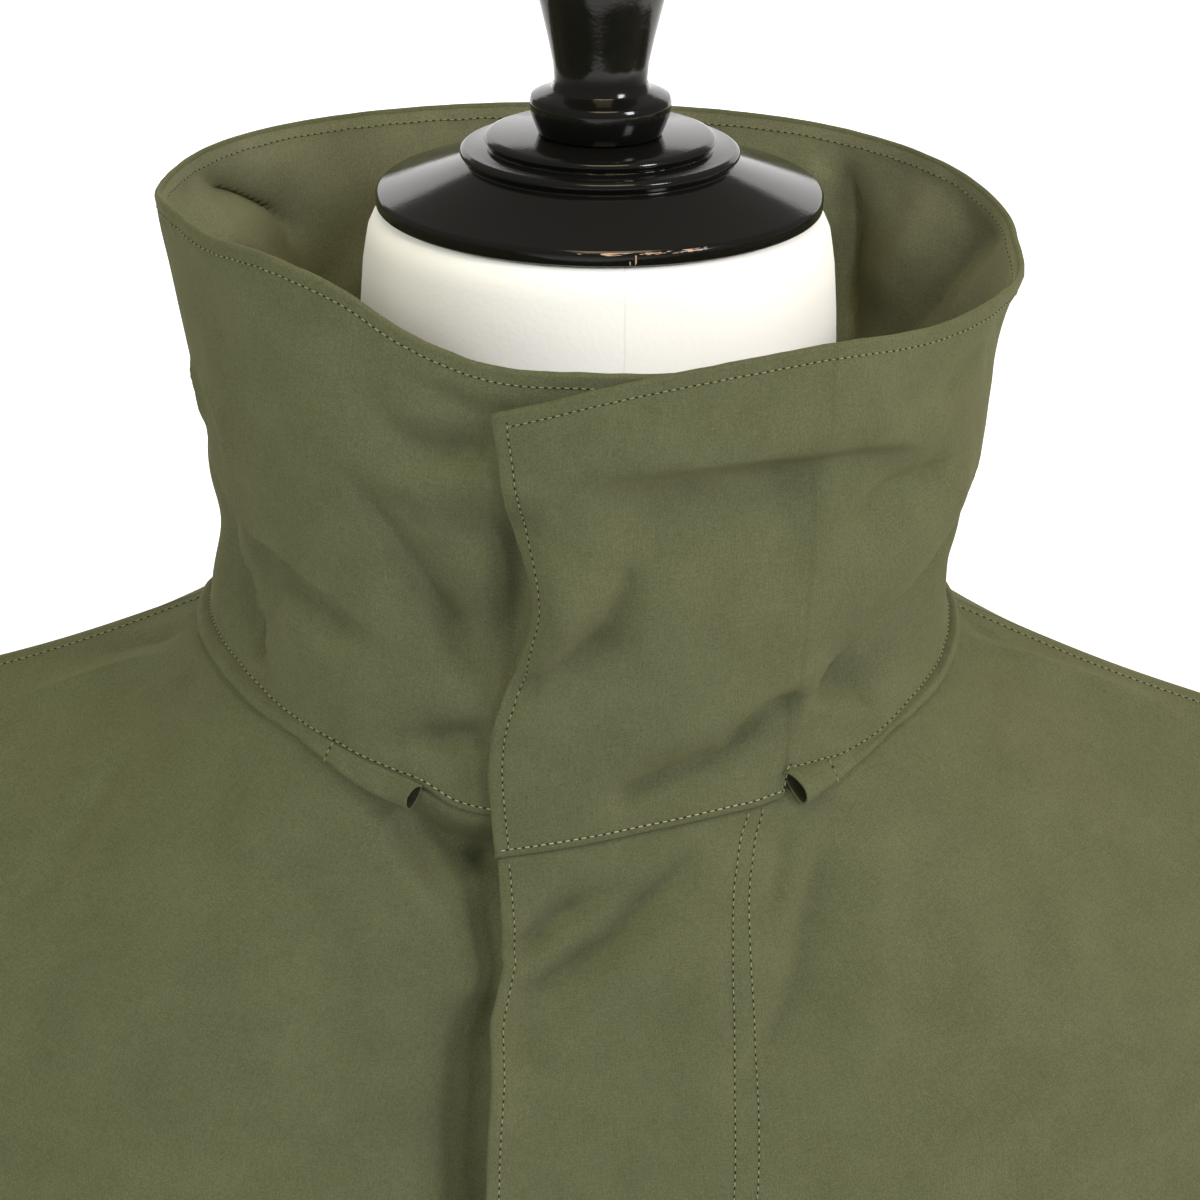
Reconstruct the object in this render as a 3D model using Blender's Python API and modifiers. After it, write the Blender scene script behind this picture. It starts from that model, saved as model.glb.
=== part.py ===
"""Field jacket with a tall stand collar, worn by a limbless dress form on a short stand.

Metres, +Z up. The jacket faces -Y, the wearer's left is +X, and the origin is on the floor
under the middle of the round foot. Every cloth surface is the outer face of its piece; the
wall goes inward from it. A panel is a loft: its rows run from the centre line to the
shoulder, armhole or side seam, each row is one cubic Bezier curve, and the four control
points follow smooth curves down the panel.
"""
from math import cos, pi, radians, sin

import bmesh
import bpy
import numpy as np

# ---------------------------------------------------------------- driving dimensions
RIM_HEIGHT = 0.980          # top edge of the form's neck cap above the floor
FOOT_RADIUS = 0.175
CLOTH = 0.0020              # wall of the body, sleeves and collar
TUBE_CLOTH = 0.0010         # wall of the neck channel
HALF_SEAM = 0.00019         # each piece ends this far from the shared seam line
OVERLAP = 0.0245            # the left front's edge past the centre line
UNDERLAP = 0.0300           # the right front's edge past the centre line
LAYER = 0.0046              # how far the lower layer lies behind the upper one
LAYER_FULL = 14.0           # degrees from the centre up to which it lies back fully
LAYER_END = 44.0            # degrees from which it is back on the common surface

SHOULDER_TURN = 100.0       # degrees round the neck, from centre front to the shoulder seam
OVER_TURN = -12.0           # the upper collar end, past the centre front
UNDER_TURN = -20.0          # the lower collar end, past the centre front on its own side
TIP = 0.18                  # share down the panel where the shoulder seam ends
UNDERARM = 0.46             # share down the panel where the armhole ends

# neck ovals: centre x, centre y, half width, half depth
NECK_OVAL = (-0.004, -0.012, 0.0985, 0.0840)
RIM_OVAL = (-0.002, -0.0115, 0.1137, 0.0875)

# neck seam: degrees from the centre front on a piece's own side, height left, height right
NECK_SEAM = (
    (-20.0, 0.8265, 0.8275),
    (-11.0, 0.8296, 0.8306),
    (0.0, 0.8336, 0.8345),
    (11.0, 0.8373, 0.8384),
    (19.0, 0.8393, 0.8409),
    (23.0, 0.8401, 0.8446),
    (29.0, 0.8412, 0.8474),
    (34.0, 0.8446, 0.8496),
    (38.0, 0.8472, 0.8516),
    (43.0, 0.8484, 0.8536),
    (50.0, 0.8503, 0.8562),
    (62.0, 0.8562, 0.8616),
    (75.0, 0.8605, 0.8652),
    (88.0, 0.8650, 0.8668),
    (100.0, 0.8675, 0.8672),
    (120.0, 0.8680, 0.8677),
    (140.0, 0.8728, 0.8726),
    (160.0, 0.8772, 0.8771),
    (180.0, 0.8795, 0.8795),
)

# collar: degrees round the neck (0 front, 90 wearer's left, 180 back), height of the top
# edge, outward swell low down and high up in the wall
COLLAR = (
    (-11.0, 0.9500, 0.0020, 0.0030),
    (5.0, 0.9585, 0.0025, 0.0035),
    (16.0, 0.9622, 0.0030, 0.0035),
    (30.0, 0.9650, 0.0020, 0.0030),
    (50.0, 0.9643, 0.0000, 0.0025),
    (70.0, 0.9655, -0.0030, -0.0010),
    (90.0, 0.9645, -0.0070, -0.0040),
    (104.0, 0.9712, -0.0030, -0.0020),
    (122.0, 0.9782, 0.0015, 0.0010),
    (142.0, 0.9819, 0.0020, 0.0015),
    (180.0, 0.9838, 0.0020, 0.0015),
    (210.0, 0.9843, 0.0015, 0.0015),
    (240.0, 0.9841, 0.0000, 0.0000),
    (268.0, 0.9823, -0.0055, -0.0030),
    (288.0, 0.9843, -0.0045, -0.0020),
    (300.0, 0.9827, -0.0020, 0.0000),
    (316.0, 0.9822, 0.0010, 0.0020),
    (327.0, 0.9771, 0.0020, 0.0030),
    (336.0, 0.9680, 0.0020, 0.0030),
    (346.0, 0.9612, 0.0020, 0.0030),
    (361.0, 0.9595, 0.0020, 0.0030),
    (380.0, 0.9590, 0.0020, 0.0030),
)

# panel rows, wearer's left half: share down, centre point y z, then the Bezier curve's two
# inner control points and its end on the shoulder seam, armhole or side seam
FRONT_ROWS = (
    # down,  y0,     z0,     x1,    y1,     z1,     x2,    y2,     z2,     x3,    y3,     z3
    (0.00, -0.096, 0.834, 0.055, -0.097, 0.836, 0.097, -0.055, 0.850, 0.097, 0.0026, 0.8675),
    (0.06, -0.101, 0.806, 0.075, -0.103, 0.806, 0.138, -0.062, 0.820, 0.143, 0.0040, 0.8492),
    (0.12, -0.107, 0.778, 0.095, -0.110, 0.778, 0.182, -0.066, 0.790, 0.190, 0.0065, 0.8335),
    (0.18, -0.113, 0.750, 0.110, -0.117, 0.750, 0.222, -0.062, 0.765, 0.236, 0.0100, 0.8175),
    (0.26, -0.121, 0.712, 0.115, -0.126, 0.712, 0.200, -0.098, 0.722, 0.226, -0.0340, 0.7520),
    (0.34, -0.130, 0.665, 0.118, -0.136, 0.665, 0.185, -0.112, 0.668, 0.212, -0.0520, 0.6800),
    (0.42, -0.139, 0.612, 0.120, -0.144, 0.612, 0.190, -0.110, 0.612, 0.210, -0.0360, 0.6180),
    (0.46, -0.143, 0.585, 0.122, -0.147, 0.585, 0.216, -0.095, 0.588, 0.218, 0.0050, 0.5950),
    (0.54, -0.146, 0.520, 0.125, -0.149, 0.520, 0.218, -0.100, 0.520, 0.219, 0.0050, 0.5200),
    (0.70, -0.143, 0.400, 0.124, -0.146, 0.400, 0.217, -0.098, 0.400, 0.217, 0.0050, 0.4000),
    (0.86, -0.145, 0.260, 0.127, -0.148, 0.260, 0.221, -0.100, 0.260, 0.221, 0.0050, 0.2600),
    (1.00, -0.147, 0.124, 0.130, -0.150, 0.124, 0.225, -0.102, 0.124, 0.225, 0.0050, 0.1240),
)
BACK_ROWS = (
    # down, y0,    z0,     x1,    y1,     z1,     x2,    y2,    z2,     x3,    y3,     z3
    (0.00, 0.072, 0.8795, 0.055, 0.073, 0.8780, 0.097, 0.045, 0.8690, 0.097, 0.0026, 0.8675),
    (0.06, 0.084, 0.8500, 0.075, 0.086, 0.8480, 0.138, 0.058, 0.8240, 0.143, 0.0040, 0.8492),
    (0.12, 0.096, 0.8150, 0.095, 0.099, 0.8140, 0.182, 0.068, 0.8060, 0.190, 0.0065, 0.8335),
    (0.18, 0.107, 0.7780, 0.110, 0.111, 0.7800, 0.222, 0.080, 0.7900, 0.236, 0.0100, 0.8175),
    (0.26, 0.116, 0.7280, 0.118, 0.121, 0.7300, 0.206, 0.104, 0.7380, 0.228, 0.0500, 0.7520),
    (0.34, 0.124, 0.6720, 0.122, 0.129, 0.6720, 0.196, 0.118, 0.6750, 0.218, 0.0680, 0.6800),
    (0.42, 0.129, 0.6140, 0.122, 0.134, 0.6140, 0.196, 0.118, 0.6160, 0.214, 0.0520, 0.6180),
    (0.46, 0.130, 0.5860, 0.122, 0.135, 0.5860, 0.216, 0.105, 0.5900, 0.218, 0.0050, 0.5950),
    (0.54, 0.130, 0.5200, 0.125, 0.134, 0.5200, 0.218, 0.108, 0.5200, 0.219, 0.0050, 0.5200),
    (0.70, 0.126, 0.4000, 0.124, 0.130, 0.4000, 0.217, 0.100, 0.4000, 0.217, 0.0050, 0.4000),
    (0.86, 0.129, 0.2600, 0.127, 0.133, 0.2600, 0.221, 0.104, 0.2600, 0.221, 0.0050, 0.2600),
    (1.00, 0.133, 0.1240, 0.130, 0.137, 0.1240, 0.225, 0.108, 0.1240, 0.225, 0.0050, 0.1240),
)

# the right shoulder stands a little higher than the left: share down, half the difference
SHOULDER_TILT = (
    (0.00, 0.0), (0.06, 0.0020), (0.18, 0.0042), (0.34, 0.0020), (0.46, 0.0), (1.00, 0.0),
)

# upper collar end: share up, degrees that the edge stands in from its straight line
COLLAR_END = (
    (0.00, -0.3), (0.12, -0.9), (0.20, -1.2), (0.30, -0.4), (0.37, 1.3), (0.45, 3.1),
    (0.53, 4.2), (0.60, 3.9), (0.70, 2.4), (0.82, 1.0), (0.92, 0.1), (1.00, -0.4),
)
COLLAR_END_REACH = 26.0     # degrees over which that bend fades out

# largest folds of the collar: degrees and share up at both ends, half width, height
# outward (a trough is negative)
COLLAR_FOLDS = (
    (6.0, 0.79, 50.0, 0.72, 0.0080, -0.0016),
    (4.0, 0.11, 26.0, 0.17, 0.0075, -0.0015),
    (26.0, 0.17, 38.0, 0.28, 0.0080, -0.0030),
    (38.0, 0.28, 60.0, 0.46, 0.0085, -0.0042),
    (28.0, 0.38, 52.0, 0.56, 0.0110, 0.0034),
    (38.0, 0.57, 60.0, 0.66, 0.0080, -0.0022),
    (70.0, 0.40, 92.0, 0.62, 0.0110, 0.0018),
    (62.0, 0.22, 84.0, 0.36, 0.0090, 0.0014),
    (66.0, 0.84, 92.0, 0.90, 0.0090, -0.0034),
    (109.0, 0.98, 126.0, 0.52, 0.0090, 0.0030),
    (120.0, 0.98, 134.0, 0.55, 0.0090, -0.0030),
    (141.0, 0.96, 138.0, 0.35, 0.0090, 0.0042),
    (250.0, 0.95, 226.0, 0.62, 0.0100, 0.0040),
    (256.0, 0.47, 290.0, 0.50, 0.0110, -0.0024),
    (256.0, 0.20, 290.0, 0.22, 0.0120, -0.0024),
    (74.0, 0.18, 104.0, 0.20, 0.0120, -0.0026),
    (290.0, 0.29, 306.0, 0.16, 0.0085, -0.0030),
    (304.0, 0.42, 328.0, 0.32, 0.0120, -0.0026),
    (320.0, 0.58, 346.0, 0.30, 0.0085, -0.0018),
    (318.0, 0.74, 342.0, 0.54, 0.0120, 0.0022),
)
COLLAR_REACH = 0.100        # metres along the collar for each radian round the neck
COLLAR_TALL = 0.122

# soft vertical waves of the skirt: share across the half panel, half width, height outward
FRONT_WAVES = ((0.30, 0.11, 0.0045), (0.52, 0.10, -0.0050), (0.74, 0.11, 0.0040))
BACK_WAVES = ((0.22, 0.10, -0.0035), (0.45, 0.12, 0.0055), (0.70, 0.11, -0.0050))
WAVE_TOP = 0.40             # share down where the waves begin

# neck channel: degrees round the neck, half width, half thickness
CHANNEL = (
    (34.5, 0.0041, 0.0023), (44.0, 0.0038, 0.0022), (54.0, 0.0027, 0.0021),
    (64.0, 0.0024, 0.0021), (80.0, 0.0026, 0.0021), (110.0, 0.0028, 0.0021),
    (180.0, 0.0030, 0.0021), (250.0, 0.0028, 0.0021), (290.0, 0.0025, 0.0021),
    (312.0, 0.0026, 0.0021), (322.0, 0.0038, 0.0022), (336.5, 0.0043, 0.0023),
)
CHANNEL_GAP = 0.0004

# sleeve rings: share down, centre x y z, half length along the lean, lean from level in
# degrees, half depth front to back
SLEEVE_RINGS = (
    (0.17, 0.2500, 0.0110, 0.6820, 0.0980, 77.0, 0.0700),
    (0.36, 0.2630, 0.0100, 0.5800, 0.0370, 24.0, 0.0860),
    (0.52, 0.2640, 0.0060, 0.4850, 0.0340, 10.0, 0.0840),
    (0.66, 0.2650, 0.0000, 0.4000, 0.0335, 7.0, 0.0800),
    (0.82, 0.2660, -0.0110, 0.3000, 0.0320, 5.0, 0.0730),
    (1.00, 0.2670, -0.0220, 0.2000, 0.0315, 4.0, 0.0660),
)

# dress form: height above the floor, half width, depth of the front, depth of the back
TORSO = (
    (0.1500, 0.150, 0.106, 0.092),
    (0.1530, 0.156, 0.111, 0.098),
    (0.1650, 0.161, 0.115, 0.102),
    (0.2400, 0.169, 0.119, 0.108),
    (0.3400, 0.168, 0.119, 0.110),
    (0.4400, 0.160, 0.116, 0.104),
    (0.5400, 0.155, 0.114, 0.096),
    (0.6200, 0.162, 0.117, 0.098),
    (0.6900, 0.170, 0.112, 0.101),
    (0.7400, 0.180, 0.100, 0.096),
    (0.7750, 0.188, 0.088, 0.086),
    (0.7980, 0.190, 0.079, 0.078),
    (0.8140, 0.178, 0.074, 0.072),
    (0.8270, 0.156, 0.070, 0.068),
    (0.8420, 0.122, 0.067, 0.066),
    (0.8560, 0.093, 0.064, 0.064),
    (0.8700, 0.077, 0.063, 0.063),
    (0.8860, 0.0695, 0.0630, 0.0630),
    (0.9060, 0.0660, 0.064, 0.064),
    (0.9300, 0.0636, 0.0630, 0.0630),
    (0.9550, 0.0626, 0.0626, 0.0626),
    (0.9670, 0.0614, 0.0614, 0.0614),
    (0.9730, 0.0596, 0.0596, 0.0596),
    (0.9757, 0.0570, 0.0570, 0.0570),
)
TORSO_STEPS = 28

# turned parts: radius and height above the rim, running down the outer side
CAP = (
    (0.0, 0.0155), (0.0286, 0.0155), (0.0301, 0.0149), (0.0305, 0.0140), (0.0297, 0.0128),
    (0.0296, 0.0122), (0.0357, 0.0119), (0.0367, 0.0112), (0.0368, 0.0100), (0.0359, 0.0090),
    (0.0355, 0.0082), (0.0583, 0.0004), (0.0590, -0.0006), (0.0588, -0.0036), (0.0580, -0.0040),
    (0.0, -0.0040),
)
FINIAL = (
    (0.0, 0.0778), (0.0080, 0.0771), (0.0148, 0.0744), (0.0185, 0.0698), (0.0192, 0.0640),
    (0.0182, 0.0575), (0.0163, 0.0507), (0.0142, 0.0420), (0.0127, 0.0350), (0.0122, 0.0303),
    (0.0130, 0.0276), (0.0158, 0.0268), (0.0182, 0.0258), (0.0187, 0.0242), (0.0183, 0.0212),
    (0.0172, 0.0182), (0.0162, 0.0158), (0.0, 0.0158),
)
POLE_RADIUS = 0.0125
POLE = ((0.0, 0.1497), (POLE_RADIUS, 0.1497), (POLE_RADIUS, 0.0203), (0.0, 0.0203))
FOOT = (
    (0.0, 0.0200), (0.0300, 0.0200), (0.0330, 0.0186), (0.0900, 0.0162), (0.1500, 0.0138),
    (0.1680, 0.0116), (FOOT_RADIUS, 0.0060), (0.1742, 0.0), (0.0, 0.0),
)

# grid steps
NECK_STEPS = 15             # columns of a front, centre to shoulder
BACK_STEPS = 22             # columns of the back
COLLAR_ROWS = 9
CHANNEL_STEPS = 44
CHANNEL_SIDES = 8
SHOULDER_ROWS = 4
ARMHOLE_ROWS = 9
SIDE_ROWS = 7
SLEEVE_ROWS = 15


# ---------------------------------------------------------------- curves
def smooth(knots, values, at):
    """Values at the places `at` on a smooth curve through the knots."""
    knots = np.asarray(knots, float)
    values = np.asarray(values, float).reshape(len(knots), -1)
    step = np.diff(knots)[:, None]
    slope = np.diff(values, axis=0) / step
    tangent = np.empty_like(values)
    tangent[0], tangent[-1] = slope[0], slope[-1]
    tangent[1:-1] = (slope[:-1] * step[1:] + slope[1:] * step[:-1]) / (step[:-1] + step[1:])
    at = np.atleast_1d(np.asarray(at, float))
    cell = np.clip(np.searchsorted(knots, at, side="right") - 1, 0, len(knots) - 2)
    width = step[cell]
    t = (at[:, None] - knots[cell][:, None]) / width
    start, end = values[cell], values[cell + 1]
    return (start * (1 + 2 * t) * (1 - t) ** 2 + end * t * t * (3 - 2 * t)
            + tangent[cell] * width * t * (1 - t) ** 2 + tangent[cell + 1] * width * t * t * (t - 1))


def smooth_with_corners(knots, values, at, corners):
    """As smooth(), with the curve free to turn sharply at the knots named in corners."""
    knots = np.asarray(knots, float)
    values = np.asarray(values, float).reshape(len(knots), -1)
    at = np.atleast_1d(np.asarray(at, float))
    result = np.empty((len(at), values.shape[1]))
    ends = [knots[0], *corners, knots[-1]]
    for low, high in zip(ends[:-1], ends[1:]):
        own = (knots >= low) & (knots <= high)
        inside = (at >= low - 1e-9) & (at <= high + 1e-9)
        result[inside] = smooth(knots[own], values[own], at[inside])
    return result


def bezier(control, share):
    """Points of cubic Bezier curves; control is (..., 4, 3), share has the leading shape."""
    u = np.asarray(share, float)[..., None]
    weight = ((1 - u) ** 3, 3 * u * (1 - u) ** 2, 3 * u * u * (1 - u), u ** 3)
    return sum(weight[i] * control[..., i, :] for i in range(4))


def ramp(value, low, high):
    """Smooth step: 0 up to low, 1 from high on."""
    t = np.clip((np.asarray(value, float) - low) / (high - low), 0.0, 1.0)
    return t * t * (3 - 2 * t)


# ---------------------------------------------------------------- the jacket's surfaces
def neck_point(side, turn):
    """Point of the neck seam at `turn` degrees on one side (+1 wearer's left, -1 right)."""
    x, y, half_width, half_depth = NECK_OVAL
    angle = np.radians(np.atleast_1d(np.asarray(turn, float)))
    table = np.array(NECK_SEAM)
    height = smooth(table[:, 0], table[:, 1 if side > 0 else 2], np.degrees(angle))[:, 0]
    return np.stack([x + side * half_width * np.sin(angle), y - half_depth * np.cos(angle),
                     height], axis=1)


def row_controls(rows, downs):
    """Bezier control points (len(downs), 4, 3) of a panel's rows."""
    table = np.array(rows)
    knots = table[:, 0]
    centre = np.hstack([np.zeros((len(rows), 1)), table[:, 1:3]])
    inner = table[:, 3:9]
    border = table[:, 9:12]
    free = smooth(knots, np.hstack([centre, inner]), downs)
    edge = smooth_with_corners(knots, border, downs, (TIP, UNDERARM))
    return np.hstack([free, edge]).reshape(len(free), 4, 3)


def skirt_waves(rows, share, downs):
    """Outward height of the soft waves at the shares across and down a half panel."""
    waves = FRONT_WAVES if rows is FRONT_ROWS else BACK_WAVES
    height = sum(tall * np.exp(-((share - at) / wide) ** 2) for at, wide, tall in waves)
    fade = ramp(share, 0.0, 0.16) * (1.0 - ramp(share, 0.86, 1.0))
    return height * fade * ramp(downs, WAVE_TOP, 1.0)[None, :]


def half_panel(rows, side, turns, downs, past_centre=0.0, end_turn=0.0, centre_turn=0.0):
    """Grid (turns, downs, 3) of one half of a front or back.

    turns are degrees round the neck on the half's own side; those before the centre line
    reach past_centre metres beyond it at end_turn.
    """
    turns = np.asarray(turns, float)
    controls = row_controls(rows, downs)
    share = np.abs(turns - centre_turn) / abs(SHOULDER_TURN - centre_turn)
    share = np.repeat(share[:, None], len(controls), axis=1)
    fine = np.linspace(0.0, 0.4, 81)
    beyond = turns < centre_turn if centre_turn == 0.0 else np.zeros(len(turns), bool)
    for row, control in enumerate(controls):
        reach = bezier(np.repeat(control[None], len(fine), axis=0), fine)[:, 0]
        share_past = np.interp(past_centre, reach, fine)
        share[beyond, row] = share_past * turns[beyond] / end_turn if end_turn else 0.0
    grid = bezier(np.repeat(controls[None], len(turns), axis=0), share)
    grid[beyond, :, 0] *= -1.0
    tilt = smooth(np.array(SHOULDER_TILT)[:, 0], np.array(SHOULDER_TILT)[:, 1], downs)[:, 0]
    grid[:, :, 2] -= side * tilt[None, :] * share ** 2
    facing = 1.0 if rows is BACK_ROWS else -1.0
    grid[:, :, 1] += facing * skirt_waves(rows, share, downs)
    grid[:, :, 0] *= side
    seam = neck_point(side, turns)
    fade = np.clip(1.0 - np.asarray(downs) / TIP, 0.0, 1.0) ** 2
    grid += fade[None, :, None] * (seam - grid[:, 0])[:, None, :]
    return grid


def grid_normals(grid, closed=False):
    """Unit normals of a grid of points: its first direction crossed with its second."""
    if closed:
        padded = np.concatenate([grid[-1:], grid, grid[:1]])
        across = np.gradient(padded, axis=0)[1:-1]
    else:
        across = np.gradient(grid, axis=0)
    along = np.gradient(grid, axis=1)
    normal = np.cross(across, along)
    length = np.linalg.norm(normal, axis=2, keepdims=True)
    return normal / np.maximum(length, 1e-12)


def layer_depth(turn):
    """How far the lower layer lies back, by its degrees from the centre on its own side."""
    return LAYER * (1.0 - ramp(turn, LAYER_FULL, LAYER_END))


def panel_downs():
    """Shares down the panels where their rows lie."""
    return np.concatenate([
        np.linspace(0.0, TIP, SHOULDER_ROWS, endpoint=False),
        np.linspace(TIP, UNDERARM, ARMHOLE_ROWS, endpoint=False),
        np.linspace(UNDERARM, 1.0, SIDE_ROWS + 1)])


def front_turns(end_turn, steps_past):
    """Columns of a front: past the centre, then to the shoulder seam."""
    return np.concatenate([np.linspace(end_turn, 0.0, steps_past, endpoint=False),
                           np.linspace(0.0, SHOULDER_TURN, NECK_STEPS + 1)])


def front_left_grid():
    """Outer face of the wearer's left front, with the fly's edge as its first column."""
    return half_panel(FRONT_ROWS, 1, front_turns(OVER_TURN, 2), panel_downs(), OVERLAP, OVER_TURN)


def front_right_grid():
    """Outer face of the wearer's right front, which lies behind the left one at the fly."""
    turns = front_turns(UNDER_TURN, 3)
    grid = half_panel(FRONT_ROWS, -1, turns, panel_downs(), UNDERLAP, UNDER_TURN)
    grid[:, :, 1] += layer_depth(turns)[:, None]
    return grid


def back_grid():
    """Outer face of the back, from the left shoulder round to the right one."""
    turns = np.linspace(SHOULDER_TURN, 180.0, BACK_STEPS // 2 + 1)
    left = half_panel(BACK_ROWS, 1, turns, panel_downs(), centre_turn=180.0)
    right = half_panel(BACK_ROWS, -1, turns, panel_downs(), centre_turn=180.0)
    return np.concatenate([left, right[-2::-1]])


# ---------------------------------------------------------------- collar
def collar_turns():
    """Stations round the collar, from its upper front end to its lower one."""
    return np.concatenate([
        np.linspace(OVER_TURN, 0.0, 2, endpoint=False),
        np.linspace(0.0, SHOULDER_TURN, NECK_STEPS, endpoint=False),
        np.linspace(SHOULDER_TURN, 360.0 - SHOULDER_TURN, BACK_STEPS, endpoint=False),
        np.linspace(360.0 - SHOULDER_TURN, 360.0, NECK_STEPS, endpoint=False),
        np.linspace(360.0, 360.0 - UNDER_TURN, 4)])


def loop_point(turn):
    """Neck seam point at a station of the collar, 0 to 360 degrees and a little beyond."""
    turn = np.atleast_1d(np.asarray(turn, float))
    left = neck_point(1, np.minimum(turn, 180.0))
    right = neck_point(-1, np.minimum(360.0 - turn, 180.0))
    return np.where((turn > 180.0)[:, None], right, left)


def collar_folds(turn, rise):
    """Outward height of the collar's folds at degrees round the neck and shares up."""
    across, up = np.radians(turn) * COLLAR_REACH, rise * COLLAR_TALL
    height = np.zeros_like(across)
    for turn_1, rise_1, turn_2, rise_2, half_width, tall in COLLAR_FOLDS:
        start = np.array([radians(turn_1) * COLLAR_REACH, rise_1 * COLLAR_TALL])
        run = np.array([radians(turn_2) * COLLAR_REACH, rise_2 * COLLAR_TALL]) - start
        share = ((across - start[0]) * run[0] + (up - start[1]) * run[1]) / (run @ run)
        held = np.clip(share, 0.0, 1.0)
        off = np.hypot(across - start[0] - held * run[0], up - start[1] - held * run[1])
        height += tall * (0.55 + 0.45 * np.sin(pi * held)) * np.exp(-(off / half_width) ** 2)
    return height * ramp(rise, 0.0, 0.12)


def collar_grid(turns, rises):
    """Outer face of the collar: stations by shares of its height."""
    bend = smooth([row[0] for row in COLLAR_END], [row[1] for row in COLLAR_END], rises)[:, 0]
    fade = 1.0 - ramp(turns, OVER_TURN, OVER_TURN + COLLAR_END_REACH)
    spread = turns[:, None] + fade[:, None] * bend[None, :]
    table = np.array(COLLAR)
    values = smooth(table[:, 0], table[:, 1:4], spread.ravel())
    angle = np.radians(spread.ravel())
    x, y, half_width, half_depth = RIM_OVAL
    top = np.stack([x + half_width * np.sin(angle), y - half_depth * np.cos(angle),
                    values[:, 0]], axis=1)
    base = loop_point(spread.ravel())
    outward = np.stack([np.sin(angle) / half_width, -np.cos(angle) / half_depth,
                        np.zeros_like(angle)], axis=1)
    outward /= np.linalg.norm(outward, axis=1, keepdims=True)
    control = np.stack([base, base + (top - base) / 3 + values[:, 1:2] * outward,
                        base + (top - base) * 2 / 3 + values[:, 2:3] * outward, top], axis=1)
    share = np.tile(rises, len(turns))
    grid = bezier(control, share) + collar_folds(spread.ravel(), share)[:, None] * outward
    grid[:, 1] += layer_depth(360.0 - spread.ravel())
    return grid.reshape(len(turns), len(rises), 3)


# ---------------------------------------------------------------- neck channel
def channel_frame(turn):
    """Seam point and the directions down the panel and out from it at one station."""
    side, own, rows = (1, turn, FRONT_ROWS) if turn <= 180.0 else (-1, 360.0 - turn, FRONT_ROWS)
    centre_turn = 0.0
    if own > SHOULDER_TURN:
        rows, centre_turn = BACK_ROWS, 180.0
    step = 0.5
    near = half_panel(rows, side, [own - step, own, own + step], np.array([0.0, 0.03]),
                      centre_turn=centre_turn)
    if side < 0 and own < SHOULDER_TURN:
        near[:, :, 1] += layer_depth(own)
    along = near[2, 0] - near[0, 0]
    down = near[1, 1] - near[1, 0]
    out = np.cross(along, down) * -side
    out /= np.linalg.norm(out)
    along /= np.linalg.norm(along)
    down = np.cross(out, along)
    down *= np.sign(down[2]) * -1.0
    return near[1, 0], down, out


def channel_grids():
    """Outer and inner face of the flat tube that lies on the panels under the collar."""
    table = np.array(CHANNEL)
    turns = np.linspace(table[0, 0], table[-1, 0], CHANNEL_STEPS + 1)
    sizes = smooth(table[:, 0], table[:, 1:3], turns)
    angle = 2 * pi * np.arange(CHANNEL_SIDES) / CHANNEL_SIDES
    skins = ([], [])
    for turn, (half_width, half_thick) in zip(turns, sizes):
        seam, down, out = channel_frame(turn)
        centre = seam + (half_width + CHANNEL_GAP) * down + (half_thick + CHANNEL_GAP) * out
        for skin, inset in zip(skins, (0.0, TUBE_CLOTH)):
            skin.append(centre + (half_width - inset) * np.cos(angle)[:, None] * down
                        + (half_thick - inset) * np.sin(angle)[:, None] * out)
    return np.array(skins[0]).transpose(1, 0, 2), np.array(skins[1]).transpose(1, 0, 2)


# ---------------------------------------------------------------- meshes
def new_object(name, mesh, material, collection):
    """Put a mesh in the scene as a named object with its material."""
    obj = bpy.data.objects.new(name, mesh)
    obj.data.materials.append(material)
    collection.objects.link(obj)
    return obj


def wall_object(name, outer, inner, material, collection, closed=False):
    """Closed wall: an outer grid, an inner grid behind it and the rims between them."""
    columns, rows = outer.shape[:2]
    bm = bmesh.new()
    skins = [[[bm.verts.new(point) for point in column] for column in skin]
             for skin in (outer, inner)]
    last = columns if closed else columns - 1
    for i in range(last):
        k = (i + 1) % columns
        for j in range(rows - 1):
            bm.faces.new((skins[0][i][j], skins[0][k][j], skins[0][k][j + 1], skins[0][i][j + 1]))
            bm.faces.new((skins[1][i][j + 1], skins[1][k][j + 1], skins[1][k][j], skins[1][i][j]))
        for j in (0, rows - 1):
            bm.faces.new((skins[0][i][j], skins[1][i][j], skins[1][k][j], skins[0][k][j]))
    if not closed:
        for i in (0, columns - 1):
            for j in range(rows - 1):
                bm.faces.new((skins[0][i][j], skins[0][i][j + 1], skins[1][i][j + 1],
                              skins[1][i][j]))
    bmesh.ops.recalc_face_normals(bm, faces=bm.faces)
    mesh = bpy.data.meshes.new(name)
    bm.to_mesh(mesh)
    bm.free()
    mesh.shade_smooth()
    mesh.set_sharp_from_angle(angle=radians(50.0))
    return new_object(name, mesh, material, collection)


def loft_object(name, rings, material, collection):
    """Closed solid through rings of equal count, bottom to top, with flat ends."""
    bm = bmesh.new()
    loops = [[bm.verts.new(point) for point in ring] for ring in rings]
    count = len(loops[0])
    for lower, upper in zip(loops[:-1], loops[1:]):
        for i in range(count):
            k = (i + 1) % count
            bm.faces.new((lower[i], lower[k], upper[k], upper[i]))
    bm.faces.new(loops[0][::-1])
    bm.faces.new(loops[-1])
    bmesh.ops.recalc_face_normals(bm, faces=bm.faces)
    mesh = bpy.data.meshes.new(name)
    bm.to_mesh(mesh)
    bm.free()
    mesh.shade_smooth()
    mesh.set_sharp_from_angle(angle=radians(50.0))
    return new_object(name, mesh, material, collection)


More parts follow.
